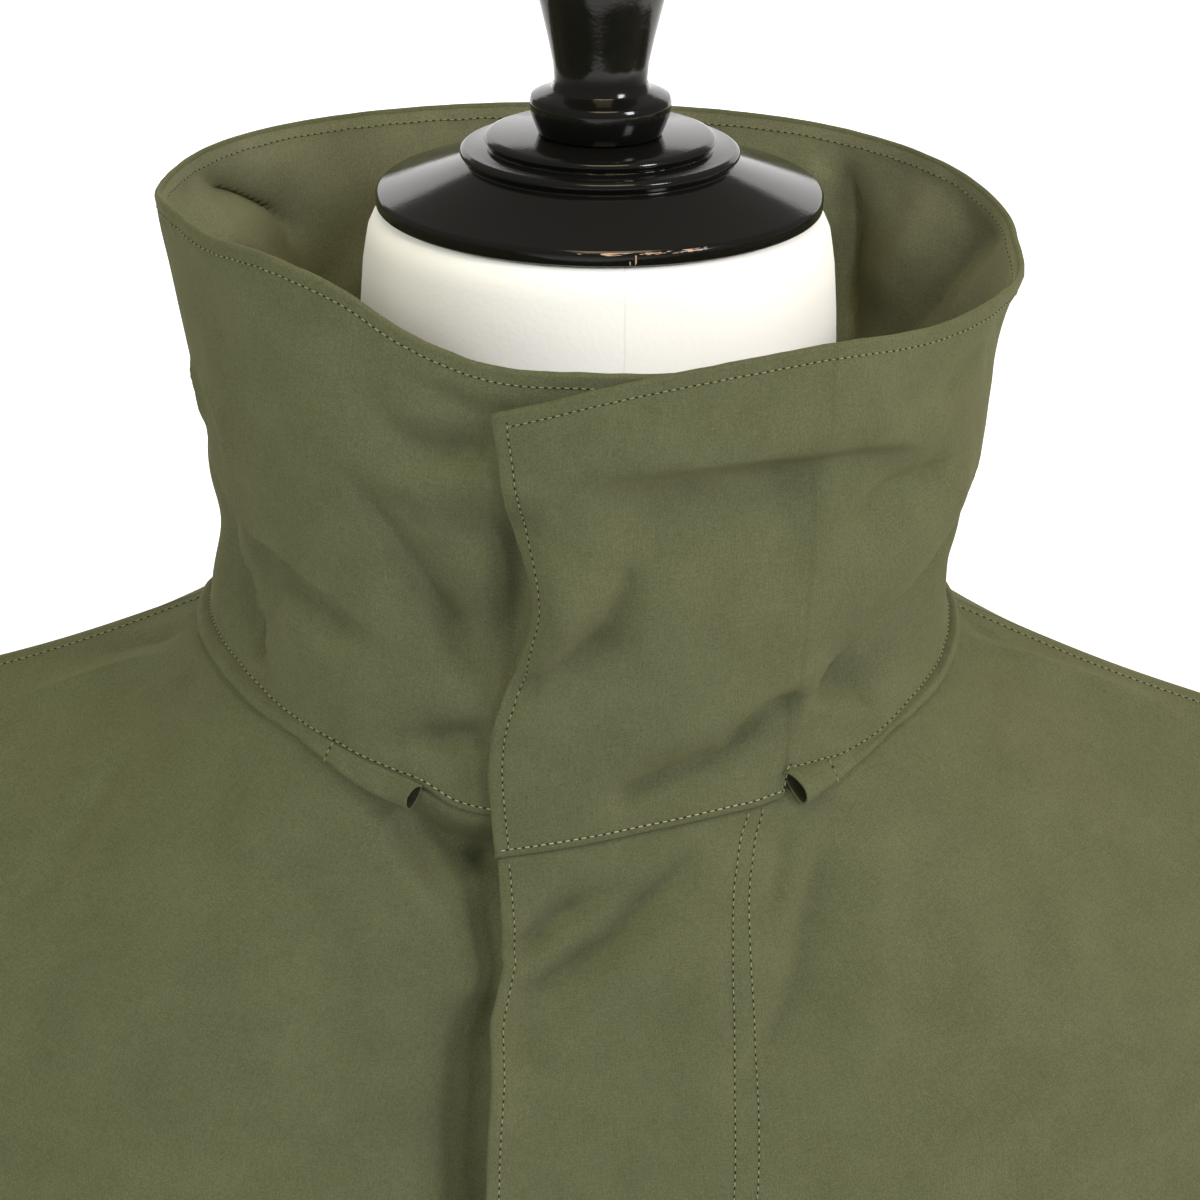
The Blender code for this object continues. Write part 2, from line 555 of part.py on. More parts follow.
def turned_object(name, profile, steps, height, material, collection):
    """Turned solid: a profile of (radius, height) that runs down the outer side."""
    mesh = bpy.data.meshes.new(name)
    points = [(radius, 0.0, z) for radius, z in profile]
    mesh.from_pydata(points, [(i, i + 1) for i in range(len(points) - 1)], [])
    obj = new_object(name, mesh, material, collection)
    obj.location.z = height
    screw = obj.modifiers.new("turn", "SCREW")
    screw.steps = steps
    screw.render_steps = steps
    screw.use_merge_vertices = True
    screw.merge_threshold = 0.0001
    screw.use_smooth_shade = True
    return obj


def cloth_material(name, colour, roughness, metallic=0.0):
    """Plain Principled material."""
    material = bpy.data.materials.new(name)
    material.use_nodes = True
    shader = material.node_tree.nodes["Principled BSDF"]
    shader.inputs["Base Color"].default_value = (*colour, 1.0)
    shader.inputs["Roughness"].default_value = roughness
    shader.inputs["Metallic"].default_value = metallic
    return material


def pull_in(grid, column=None, row=None, distance=HALF_SEAM):
    """Move one border of a grid towards its inside by the seam's half gap."""
    if column is not None:
        neighbour = 1 if column == 0 else column - 1 if column > 0 else -2
        step = grid[neighbour] - grid[column]
        grid[column] += distance * step / np.linalg.norm(step, axis=-1, keepdims=True)
    if row is not None:
        neighbour = 1 if row == 0 else -2
        step = grid[:, neighbour] - grid[:, row]
        grid[:, row] += distance * step / np.linalg.norm(step, axis=-1, keepdims=True)


def share_normals(*borders):
    """Give borders that meet one common direction, long enough to keep the wall's depth."""
    mean = sum(borders)
    mean = mean / np.linalg.norm(mean, axis=-1, keepdims=True)
    square = np.minimum.reduce([(mean * border).sum(axis=-1) for border in borders])
    mean = mean / np.maximum(square, 0.72)[..., None]
    for border in borders:
        border[:] = mean


# ---------------------------------------------------------------- the pieces
def sleeve_grid(side, front, back):
    """Outer face of a sleeve: its first ring is the armhole, front down and back up."""
    first = SHOULDER_ROWS
    last = SHOULDER_ROWS + ARMHOLE_ROWS
    armhole = np.concatenate([front[first:last + 1], back[last - 1:first:-1]])
    count = len(armhole)
    angle = 2 * pi * np.arange(count) / count
    table = np.array(SLEEVE_RINGS)
    rings = [armhole]
    for _, x, y, z, half_long, lean, half_deep in table:
        lean = radians(lean)
        rings.append(np.stack([
            side * (x + half_long * np.cos(angle) * cos(lean)),
            y - half_deep * np.sin(angle),
            z + half_long * np.cos(angle) * sin(lean)], axis=1))
    rings = np.array(rings)
    knots = np.concatenate([[0.0], table[:, 0]])
    downs = np.linspace(0.0, 1.0, SLEEVE_ROWS + 1) ** 0.9
    flat = smooth(knots, rings.reshape(len(rings), -1), downs)
    return flat.reshape(len(downs), count, 3).transpose(1, 0, 2)


def jacket(collection, material):
    """Build the sewn pieces of the jacket."""
    left, right, back = front_left_grid(), front_right_grid(), back_grid()
    fronts = {1: (left, -grid_normals(left)), -1: (right, grid_normals(right))}
    back_normal = -grid_normals(back)
    first, last = SHOULDER_ROWS, SHOULDER_ROWS + ARMHOLE_ROWS
    for side, (front, normal) in fronts.items():
        edge = 0 if side > 0 else -1
        sleeve = sleeve_grid(side, front[-1], back[edge])
        sleeve_normal = side * grid_normals(sleeve, closed=True)
        front_edge, back_edge, ring = normal[-1], back_normal[edge], sleeve_normal[:, 0]
        turn = last - first
        share_normals(front_edge[:first], back_edge[:first])
        share_normals(front_edge[last:], back_edge[last:])
        # low on the armhole the outer faces turn towards each other, so the walls spread
        open_rows = 3
        share_normals(ring[1:turn - open_rows], front_edge[first + 1:last - open_rows])
        share_normals(ring[turn + 1 + open_rows:], back_edge[last - 1 - open_rows:first:-1])
        share_normals(ring[0], front_edge[first], back_edge[first])
        pull_in(sleeve, row=0)
        sleeve[:, 0, 0] += side * 2 * HALF_SEAM
        wall_object("sleeve_left" if side > 0 else "sleeve_right", sleeve,
                    sleeve - CLOTH * sleeve_normal, material, collection, closed=True)
    for edge in (0, -1):
        pull_in(back, column=edge)
    pull_in(back, row=0)
    wall_object("back", back, back - CLOTH * back_normal, material, collection)
    for side, (front, normal) in fronts.items():
        pull_in(front, column=-1)
        pull_in(front, row=0)
        wall_object("front_left" if side > 0 else "front_right", front,
                    front - CLOTH * normal, material, collection)
    collar = collar_grid(collar_turns(), np.linspace(0.0, 1.0, COLLAR_ROWS))
    collar_normal = grid_normals(collar)
    pull_in(collar, row=0)
    wall_object("collar", collar, collar - CLOTH * collar_normal, material, collection)
    outer, inner = channel_grids()
    wall_object("neck_channel", outer, inner, material, collection, closed=True)


def dress_form(collection, felt, lacquer, metal):
    """Build the limbless form, its neck cap and finial, and the stand."""
    angle = 2 * pi * np.arange(TORSO_STEPS) / TORSO_STEPS
    rings = []
    for height, half_width, front, back in TORSO:
        depth = np.where(np.cos(angle) > 0, front, back)
        rings.append(np.stack([half_width * np.sin(angle), -depth * np.cos(angle),
                               np.full(TORSO_STEPS, height)], axis=1))
    loft_object("torso", rings, felt, collection)
    turned_object("neck_cap", CAP, 40, RIM_HEIGHT, lacquer, collection)
    turned_object("finial", FINIAL, 32, RIM_HEIGHT, lacquer, collection)
    turned_object("stand_pole", POLE, 24, 0.0, metal, collection)
    turned_object("stand_foot", FOOT, 40, 0.0, metal, collection)


def main():
    """Clear the scene and build every piece."""
    for obj in list(bpy.data.objects):
        bpy.data.objects.remove(obj, do_unlink=True)
    collection = bpy.data.collections.new("field_jacket_on_dress_form")
    bpy.context.scene.collection.children.link(collection)
    jacket(collection, cloth_material("olive_cotton", (0.125, 0.132, 0.070), 0.85))
    dress_form(collection, cloth_material("cream_felt", (0.80, 0.77, 0.69), 0.95),
               cloth_material("black_lacquer", (0.010, 0.010, 0.011), 0.12),
               cloth_material("black_steel", (0.030, 0.030, 0.032), 0.40))


main()
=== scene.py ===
"""Looks of a field jacket with a tall lapped stand collar on a limbless dress form.

Every cloth piece is a thin shell on the form of its CAD solid. A piece starts as a grid of
points worked out from the same named sizes and short tables as the solid, at a finer step.
Creases are then pressed into it along listed lines, and stitches are laid on it along lines
that are read back from the creased cloth.
"""

import logging
from dataclasses import dataclass, field, replace
from enum import Enum
from math import cos, pi, radians, sin
from typing import Iterable, Optional, Sequence

import bmesh
import bpy
import numpy as np
from mathutils import Matrix, Vector


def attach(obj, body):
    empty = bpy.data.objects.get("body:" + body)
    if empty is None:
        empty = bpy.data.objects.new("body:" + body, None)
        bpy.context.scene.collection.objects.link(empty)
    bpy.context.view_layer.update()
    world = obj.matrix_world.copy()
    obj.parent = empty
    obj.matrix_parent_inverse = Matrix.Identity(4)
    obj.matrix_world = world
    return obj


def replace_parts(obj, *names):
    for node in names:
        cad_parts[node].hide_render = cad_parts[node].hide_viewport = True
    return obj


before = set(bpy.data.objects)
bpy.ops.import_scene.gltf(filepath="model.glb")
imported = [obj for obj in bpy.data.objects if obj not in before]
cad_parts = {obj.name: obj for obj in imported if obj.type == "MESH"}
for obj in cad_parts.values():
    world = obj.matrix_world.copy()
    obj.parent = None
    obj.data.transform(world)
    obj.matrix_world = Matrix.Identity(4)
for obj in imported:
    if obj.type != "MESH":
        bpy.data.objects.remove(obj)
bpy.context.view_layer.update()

logging.basicConfig(level=logging.INFO, format="%(levelname)s %(message)s")
LOG = logging.getLogger("jacket")

BODY = "root"

Pair = tuple[float, float]
Triple = tuple[float, float, float]
Table = tuple[tuple[float, ...], ...]
Socket = bpy.types.NodeSocket
Material = bpy.types.Material

# ------------------------------------------------------------------ sizes shared with the solids
# metres, Z up; turns are degrees round the neck from the centre front, towards the wearer's left
RIM_HEIGHT = 0.98
# share down the front, how far the fly's edge reaches past the centre
FLY_EDGE: Table = (
    (0.0, 0.0232), (0.02, 0.0226), (0.052, 0.0216), (0.073, 0.0227), (0.1, 0.0246),
    (0.13, 0.0246), (0.17, 0.0258), (0.2, 0.0261), (0.3, 0.0254), (1.0, 0.0245),
)
UNDERLAP = 0.03
# how far the lower layer lies back, up to which turn in full, and where that ends
LAYER = 0.0046
LAYER_FULL = 14.0
LAYER_END = 44.0
# turns of the shoulder seam and of the ends of the upper and the lower layer
SHOULDER_TURN = 100.0
OVER_TURN = -12.0
UNDER_TURN = -20.0
# shares down a panel of the shoulder's tip and the underarm
TIP = 0.18
UNDERARM = 0.46
# centre x y, half width, half depth
NECK_OVAL = (-0.004, -0.012, 0.0985, 0.084)
RIM_OVAL = (-0.002, -0.0115, 0.1137, 0.0875)

# degrees from the centre front on a piece's own side, seam height left, seam height right
NECK_SEAM: Table = (
    (-20.0, 0.8265, 0.8275), (-11.0, 0.8296, 0.8306), (0.0, 0.8336, 0.8345),
    (11.0, 0.8373, 0.8384), (19.0, 0.8393, 0.8409), (23.0, 0.8401, 0.8446),
    (29.0, 0.8412, 0.8474), (34.0, 0.8446, 0.8496), (38.0, 0.8472, 0.8516),
    (43.0, 0.8484, 0.8536), (50.0, 0.8503, 0.8562), (62.0, 0.8562, 0.8616),
    (75.0, 0.8605, 0.8652), (88.0, 0.865, 0.8668), (100.0, 0.8675, 0.8672),
    (120.0, 0.868, 0.8677), (140.0, 0.8728, 0.8726), (160.0, 0.8772, 0.8771),
    (180.0, 0.8795, 0.8795),
)

# degrees round the neck, height of the top edge, outward swell low down and high up
COLLAR: Table = (
    (-11.0, 0.95, 0.002, 0.003), (5.0, 0.9585, 0.0025, 0.0035),
    (16.0, 0.9622, 0.003, 0.0035), (30.0, 0.965, 0.002, 0.003),
    (50.0, 0.9643, 0.0, 0.0025), (70.0, 0.9655, -0.003, -0.001),
    (90.0, 0.9645, -0.007, -0.004), (104.0, 0.9712, -0.003, -0.002),
    (122.0, 0.9782, 0.0015, 0.001), (142.0, 0.9819, 0.002, 0.0015),
    (180.0, 0.9838, 0.002, 0.0015), (210.0, 0.9843, 0.0015, 0.0015),
    (240.0, 0.9841, 0.0, 0.0), (268.0, 0.9823, -0.0055, -0.003),
    (288.0, 0.9843, -0.0045, -0.002), (300.0, 0.9827, -0.002, 0.0),
    (316.0, 0.9822, 0.001, 0.002), (327.0, 0.9771, 0.002, 0.003),
    (336.0, 0.968, 0.002, 0.003), (346.0, 0.9612, 0.002, 0.003),
    (361.0, 0.9595, 0.002, 0.003), (380.0, 0.959, 0.002, 0.003),
)

# distances of the stitch lines from their edges, and their lift off the cloth
HEM = 0.02
COLLAR_SEAM = 0.0022
COLLAR_EDGE = 0.004
FLY_SEAM = 0.0033
THREAD_LIFT = 0.00008
# degrees round the neck of the channel's mouths, and of the bars sewn across it
MOUTHS: Pair = (31.8, 336.0)
CHANNEL_BARS: Pair = (40.8, 320.6)
# share down, degrees round the neck of the placket's two stitch rows
PLACKET_ROWS: Table = (
    (0.0025, 26.0, 28.5), (0.012, 23.4, 25.8), (0.024, 21.2, 23.5), (0.036, 19.4, 21.6),
    (0.055, 17.6, 19.6), (0.09, 15.0, 17.0), (0.1425, 12.5, 14.5), (0.2, 11.2, 13.0),
    (0.3, 10.6, 12.3), (0.5, 10.4, 12.1), (0.75, 10.2, 11.9), (0.972, 10.0, 11.7),
)

# share up the collar, degrees that its upper end stands in from a straight line
COLLAR_END: Table = (
    (0.0, -0.3), (0.12, -0.9), (0.2, -1.2), (0.3, -0.4), (0.37, 1.3), (0.45, 3.3),
    (0.53, 4.8), (0.6, 4.5), (0.7, 2.4), (0.82, 1.0), (0.92, 0.1), (1.0, -0.4),
)
COLLAR_END_REACH = 26.0

# share down, centre y z, two inner control points, end on the shoulder, armhole or side seam
FRONT_ROWS: Table = (
    (0.0, -0.096, 0.834, 0.055, -0.097, 0.836, 0.097, -0.055, 0.85, 0.097, 0.0026, 0.8675),
    (0.06, -0.101, 0.806, 0.075, -0.103, 0.806, 0.138, -0.062, 0.82, 0.143, 0.004, 0.8492),
    (0.12, -0.107, 0.778, 0.095, -0.11, 0.778, 0.182, -0.066, 0.79, 0.19, 0.0065, 0.8335),
    (0.18, -0.113, 0.75, 0.11, -0.117, 0.75, 0.222, -0.062, 0.765, 0.236, 0.01, 0.8175),
    (0.26, -0.121, 0.712, 0.115, -0.126, 0.712, 0.2, -0.098, 0.722, 0.226, -0.034, 0.752),
    (0.34, -0.13, 0.665, 0.118, -0.136, 0.665, 0.185, -0.112, 0.668, 0.212, -0.052, 0.68),
    (0.42, -0.139, 0.612, 0.12, -0.144, 0.612, 0.19, -0.11, 0.612, 0.21, -0.036, 0.618),
    (0.46, -0.143, 0.585, 0.122, -0.147, 0.585, 0.216, -0.095, 0.588, 0.218, 0.005, 0.595),
    (0.54, -0.146, 0.52, 0.125, -0.149, 0.52, 0.218, -0.1, 0.52, 0.219, 0.005, 0.52),
    (0.7, -0.143, 0.4, 0.124, -0.146, 0.4, 0.217, -0.098, 0.4, 0.217, 0.005, 0.4),
    (0.86, -0.145, 0.26, 0.127, -0.148, 0.26, 0.221, -0.1, 0.26, 0.221, 0.005, 0.26),
    (1.0, -0.147, 0.124, 0.13, -0.15, 0.124, 0.225, -0.102, 0.124, 0.225, 0.005, 0.124),
)
BACK_ROWS: Table = (
    (0.0, 0.072, 0.8795, 0.055, 0.073, 0.878, 0.097, 0.045, 0.869, 0.097, 0.0026, 0.8675),
    (0.06, 0.084, 0.85, 0.075, 0.086, 0.848, 0.138, 0.058, 0.824, 0.143, 0.004, 0.8492),
    (0.12, 0.096, 0.815, 0.095, 0.099, 0.814, 0.182, 0.068, 0.806, 0.19, 0.0065, 0.8335),
    (0.18, 0.107, 0.778, 0.11, 0.111, 0.78, 0.222, 0.08, 0.79, 0.236, 0.01, 0.8175),
    (0.26, 0.116, 0.728, 0.118, 0.121, 0.73, 0.206, 0.104, 0.738, 0.228, 0.05, 0.752),
    (0.34, 0.124, 0.672, 0.122, 0.129, 0.672, 0.196, 0.118, 0.675, 0.218, 0.068, 0.68),
    (0.42, 0.129, 0.614, 0.122, 0.134, 0.614, 0.196, 0.118, 0.616, 0.214, 0.052, 0.618),
    (0.46, 0.13, 0.586, 0.122, 0.135, 0.586, 0.216, 0.105, 0.59, 0.218, 0.005, 0.595),
    (0.54, 0.13, 0.52, 0.125, 0.134, 0.52, 0.218, 0.108, 0.52, 0.219, 0.005, 0.52),
    (0.7, 0.126, 0.4, 0.124, 0.13, 0.4, 0.217, 0.1, 0.4, 0.217, 0.005, 0.4),
    (0.86, 0.129, 0.26, 0.127, 0.133, 0.26, 0.221, 0.104, 0.26, 0.221, 0.005, 0.26),
    (1.0, 0.133, 0.124, 0.13, 0.137, 0.124, 0.225, 0.108, 0.124, 0.225, 0.005, 0.124),
)
# share down, how much lower the left shoulder is than a level one
SHOULDER_TILT: Table = (
    (0.0, 0.0), (0.06, 0.002), (0.18, 0.0042), (0.34, 0.002), (0.46, 0.0), (1.0, 0.0),
)
# soft waves of the skirt: share round, half width, height
FRONT_WAVES: Table = ((0.3, 0.11, 0.0045), (0.52, 0.1, -0.005), (0.74, 0.11, 0.004))
BACK_WAVES: Table = ((0.22, 0.1, -0.0035), (0.45, 0.12, 0.0055), (0.7, 0.11, -0.005))
WAVE_TOP = 0.4

# degrees round the neck, width and thickness of the channel
CHANNEL: Table = (
    (33.6, 0.0062, 0.0056), (36.5, 0.0062, 0.0042), (40.0, 0.0058, 0.0029),
    (44.0, 0.0046, 0.0023), (49.0, 0.003, 0.0018), (55.0, 0.0022, 0.0016),
    (61.0, 0.0032, 0.0022), (68.0, 0.0036, 0.0026), (80.0, 0.0038, 0.0027),
    (110.0, 0.0038, 0.0026), (180.0, 0.004, 0.0024), (250.0, 0.0044, 0.0024),
    (268.0, 0.0048, 0.0026), (290.0, 0.005, 0.0025), (305.0, 0.0046, 0.0022),
    (312.0, 0.0036, 0.002), (319.0, 0.0046, 0.0024), (325.0, 0.0062, 0.0027),
    (331.0, 0.0074, 0.0029), (334.5, 0.0074, 0.0042), (336.5, 0.0074, 0.0058),
)
# degrees that a mouth's outer lip is cut back, and over how many degrees that fades
CHANNEL_SLANT = 0.9
CHANNEL_SLANT_REACH = 9.0
# how far the channel's top lies under the collar's edge
CHANNEL_TUCK = 0.0011
# degrees round the neck, how far the collar's lower edge is lifted off the seam
EDGE_LIFT: Table = (
    (28.5, 0.0), (30.5, -0.0004), (32.4, -0.0014), (33.0, 0.0044), (34.0, 0.0036),
    (36.0, 0.0023), (38.0, 0.0011), (42.0, 0.0),
)
CHANNEL_GAP = 0.0003

# share down, centre x y z, half length along the lean, lean in degrees, half depth
SLEEVE_RINGS: Table = (
    (0.17, 0.25, 0.011, 0.682, 0.098, 77.0, 0.07),
    (0.36, 0.263, 0.01, 0.58, 0.037, 24.0, 0.086),
    (0.52, 0.264, 0.006, 0.485, 0.034, 10.0, 0.084),
    (0.66, 0.265, 0.0, 0.4, 0.0335, 7.0, 0.08),
    (0.82, 0.266, -0.011, 0.3, 0.032, 5.0, 0.073),
    (1.0, 0.267, -0.022, 0.2, 0.0315, 4.0, 0.066),
)

# height, half width, depth of the front, depth of the back
TORSO: Table = (
    (0.15, 0.15, 0.106, 0.092), (0.153, 0.156, 0.111, 0.098),
    (0.165, 0.161, 0.115, 0.102), (0.24, 0.169, 0.119, 0.108),
    (0.34, 0.168, 0.119, 0.11), (0.44, 0.16, 0.116, 0.104),
    (0.54, 0.155, 0.114, 0.096), (0.62, 0.162, 0.117, 0.098),
    (0.69, 0.17, 0.112, 0.101), (0.74, 0.18, 0.1, 0.096),
    (0.775, 0.188, 0.088, 0.086), (0.798, 0.19, 0.079, 0.078),
    (0.814, 0.178, 0.074, 0.072), (0.827, 0.156, 0.07, 0.068),
    (0.842, 0.122, 0.067, 0.066), (0.856, 0.093, 0.064, 0.064),
    (0.87, 0.077, 0.063, 0.063), (0.886, 0.0695, 0.063, 0.063),
    (0.906, 0.066, 0.064, 0.064), (0.93, 0.0636, 0.063, 0.063),
    (0.955, 0.0626, 0.0626, 0.0626), (0.967, 0.0614, 0.0614, 0.0614),
    (0.973, 0.0596, 0.0596, 0.0596), (0.9757, 0.057, 0.057, 0.057),
)

# radius and height above the rim, down the outer side
CAP: Table = (
    (0.0, 0.0155), (0.0286, 0.0155), (0.0301, 0.0149), (0.0305, 0.014), (0.0297, 0.0128),
    (0.0296, 0.0122), (0.0357, 0.0119), (0.0367, 0.0112), (0.0368, 0.01), (0.0359, 0.009),
    (0.0355, 0.0082), (0.0583, 0.0004), (0.059, -0.0006), (0.0588, -0.0036),
    (0.058, -0.004), (0.0, -0.004),
)
FINIAL: Table = (
    (0.0, 0.0778), (0.008, 0.0771), (0.0148, 0.0744), (0.0185, 0.0698), (0.0192, 0.064),
    (0.0182, 0.0575), (0.0163, 0.0507), (0.0142, 0.042), (0.0127, 0.035), (0.0122, 0.0303),
    (0.013, 0.0276), (0.0158, 0.0268), (0.0182, 0.0258), (0.0187, 0.0242), (0.0183, 0.0212),
    (0.0172, 0.0182), (0.0162, 0.0158), (0.0, 0.0158),
)


# ------------------------------------------------------------------ objects
def put(name: str, data: bpy.types.ID) -> bpy.types.Object:
    """A new object in the scene."""
    obj = bpy.data.objects.new(name, data)
    bpy.context.scene.collection.objects.link(obj)
    return obj


def add_piece(name: str, mesh: bpy.types.Mesh) -> bpy.types.Object:
    """Put a finished mesh in the scene on its CAD body and report it.

    Args:
        name: The new object's name.
        mesh: Its mesh.

    Returns:
        The new object.
    """
    mesh.shade_smooth()
    obj = put(name, mesh)
    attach(obj, BODY)
    LOG.info("%s: %d points, %d faces", name, len(mesh.vertices), len(mesh.polygons))
    return obj


def evaluated_mesh(carrier: bpy.types.Object, name: str) -> bpy.types.Mesh:
    """The plain mesh that a carrier's modifiers make. The carrier is removed."""
    depsgraph = bpy.context.evaluated_depsgraph_get()
    made = bpy.data.meshes.new_from_object(carrier.evaluated_get(depsgraph))
    carrier.modifiers.clear()
    bpy.data.objects.remove(carrier)
    made.name = name
    return made


def face_outward(mesh: bpy.types.Mesh) -> None:
    """Turn every face of a closed shell outward."""
    bm = bmesh.new()
    bm.from_mesh(mesh)
    bmesh.ops.recalc_face_normals(bm, faces=bm.faces)
    bm.to_mesh(mesh)
    bm.free()


# ------------------------------------------------------------------ curves
def smooth(knots: Sequence[float], values: np.ndarray, at: np.ndarray) -> np.ndarray:
    """Values on a smooth curve through knots.

    Args:
        knots: Rising places of the known values.
        values: One row of values for each knot.
        at: Places to read.

    Returns:
        One row for each place.
    """
    knots = np.asarray(knots, float)
    values = np.asarray(values, float).reshape(len(knots), -1)
    step = np.diff(knots)[:, None]
    slope = np.diff(values, axis=0) / step
    tangent = np.empty_like(values)
    tangent[0], tangent[-1] = slope[0], slope[-1]
    tangent[1:-1] = (slope[:-1] * step[1:] + slope[1:] * step[:-1]) / (step[:-1] + step[1:])
    at = np.atleast_1d(np.asarray(at, float))
    cell = np.clip(np.searchsorted(knots, at, side="right") - 1, 0, len(knots) - 2)
    width = step[cell]
    t = (at[:, None] - knots[cell][:, None]) / width
    return (
        values[cell] * (1 + 2 * t) * (1 - t) ** 2
        + values[cell + 1] * t * t * (3 - 2 * t)
        + tangent[cell] * width * t * (1 - t) ** 2
        + tangent[cell + 1] * width * t * t * (t - 1)
    )


def smooth_with_corners(
    knots: Sequence[float], values: np.ndarray, at: np.ndarray, corners: Sequence[float]
) -> np.ndarray:
    """As smooth(), with the curve free to turn sharply at the knots named in corners."""
    knots = np.asarray(knots, float)
    values = np.asarray(values, float).reshape(len(knots), -1)
    at = np.atleast_1d(np.asarray(at, float))
    result = np.empty((len(at), values.shape[1]))
    ends = [knots[0], *corners, knots[-1]]
    for low, high in zip(ends[:-1], ends[1:]):
        own = (knots >= low) & (knots <= high)
        inside = (at >= low - 1e-9) & (at <= high + 1e-9)
        result[inside] = smooth(knots[own], values[own], at[inside])
    return result


def bezier(control: np.ndarray, share: np.ndarray) -> np.ndarray:
    """Points of cubic Bezier curves; control is (..., 4, 3) and share has the leading shape."""
    u = np.asarray(share, float)[..., None]
    weight = ((1 - u) ** 3, 3 * u * (1 - u) ** 2, 3 * u * u * (1 - u), u**3)
    return sum(weight[i] * control[..., i, :] for i in range(4))


def ramp(value: np.ndarray, low: float, high: float) -> np.ndarray:
    """Smooth step: 0 up to low, 1 from high on."""
    t = np.clip((np.asarray(value, float) - low) / (high - low), 0.0, 1.0)
    return t * t * (3 - 2 * t)


def unit(vectors: np.ndarray) -> np.ndarray:
    """Vectors of length one."""
    return vectors / np.maximum(np.linalg.norm(vectors, axis=-1, keepdims=True), 1e-12)


def unevenness(points: np.ndarray, wavelength: float, seed: int, waves: int = 14) -> np.ndarray:
    """Soft random unevenness between about -1 and 1, the same wherever pieces meet.

    Args:
        points: Places in metres.
        wavelength: Typical distance between swells, in metres.
        seed: Fixes the pattern.
        waves: How many plain waves are added up.

    Returns:
        One value for each point.
    """
    dice = np.random.default_rng(seed)
    way = unit(dice.normal(size=(waves, 3)))
    rate = 2 * pi / (wavelength * dice.uniform(0.7, 1.5, waves))
    phase = dice.uniform(0, 2 * pi, waves)
    total = np.zeros(points.shape[:-1])
    for direction, pace, start in zip(way, rate, phase):
        total += np.sin(points @ direction * pace + start)
    return total / np.sqrt(waves)


# ------------------------------------------------------------------ cloth as a grid
@dataclass(frozen=True)
class Crease:
    """One crease placed on a piece.

    Attributes:
        points: Its line in the piece's own two parameters.
        height: How far it stands out, in metres; a trough is negative.
        half_width: Distance over which it fades to the side, in metres.
        lean: From -1 to 1; the flank on the line's left is wider, the other one steeper.
        ends: Share of the height that is left at its two ends.
        crisp: 2 for a soft trough or ridge, near 1 for one with a sharp line along it.
        folded: The cloth folds over along the line, so only its right side sinks.
    """

    points: tuple[Pair, ...]
    height: float
    half_width: float
    lean: float = 0.0
    ends: float = 0.15
    crisp: float = 2.0
    folded: bool = False


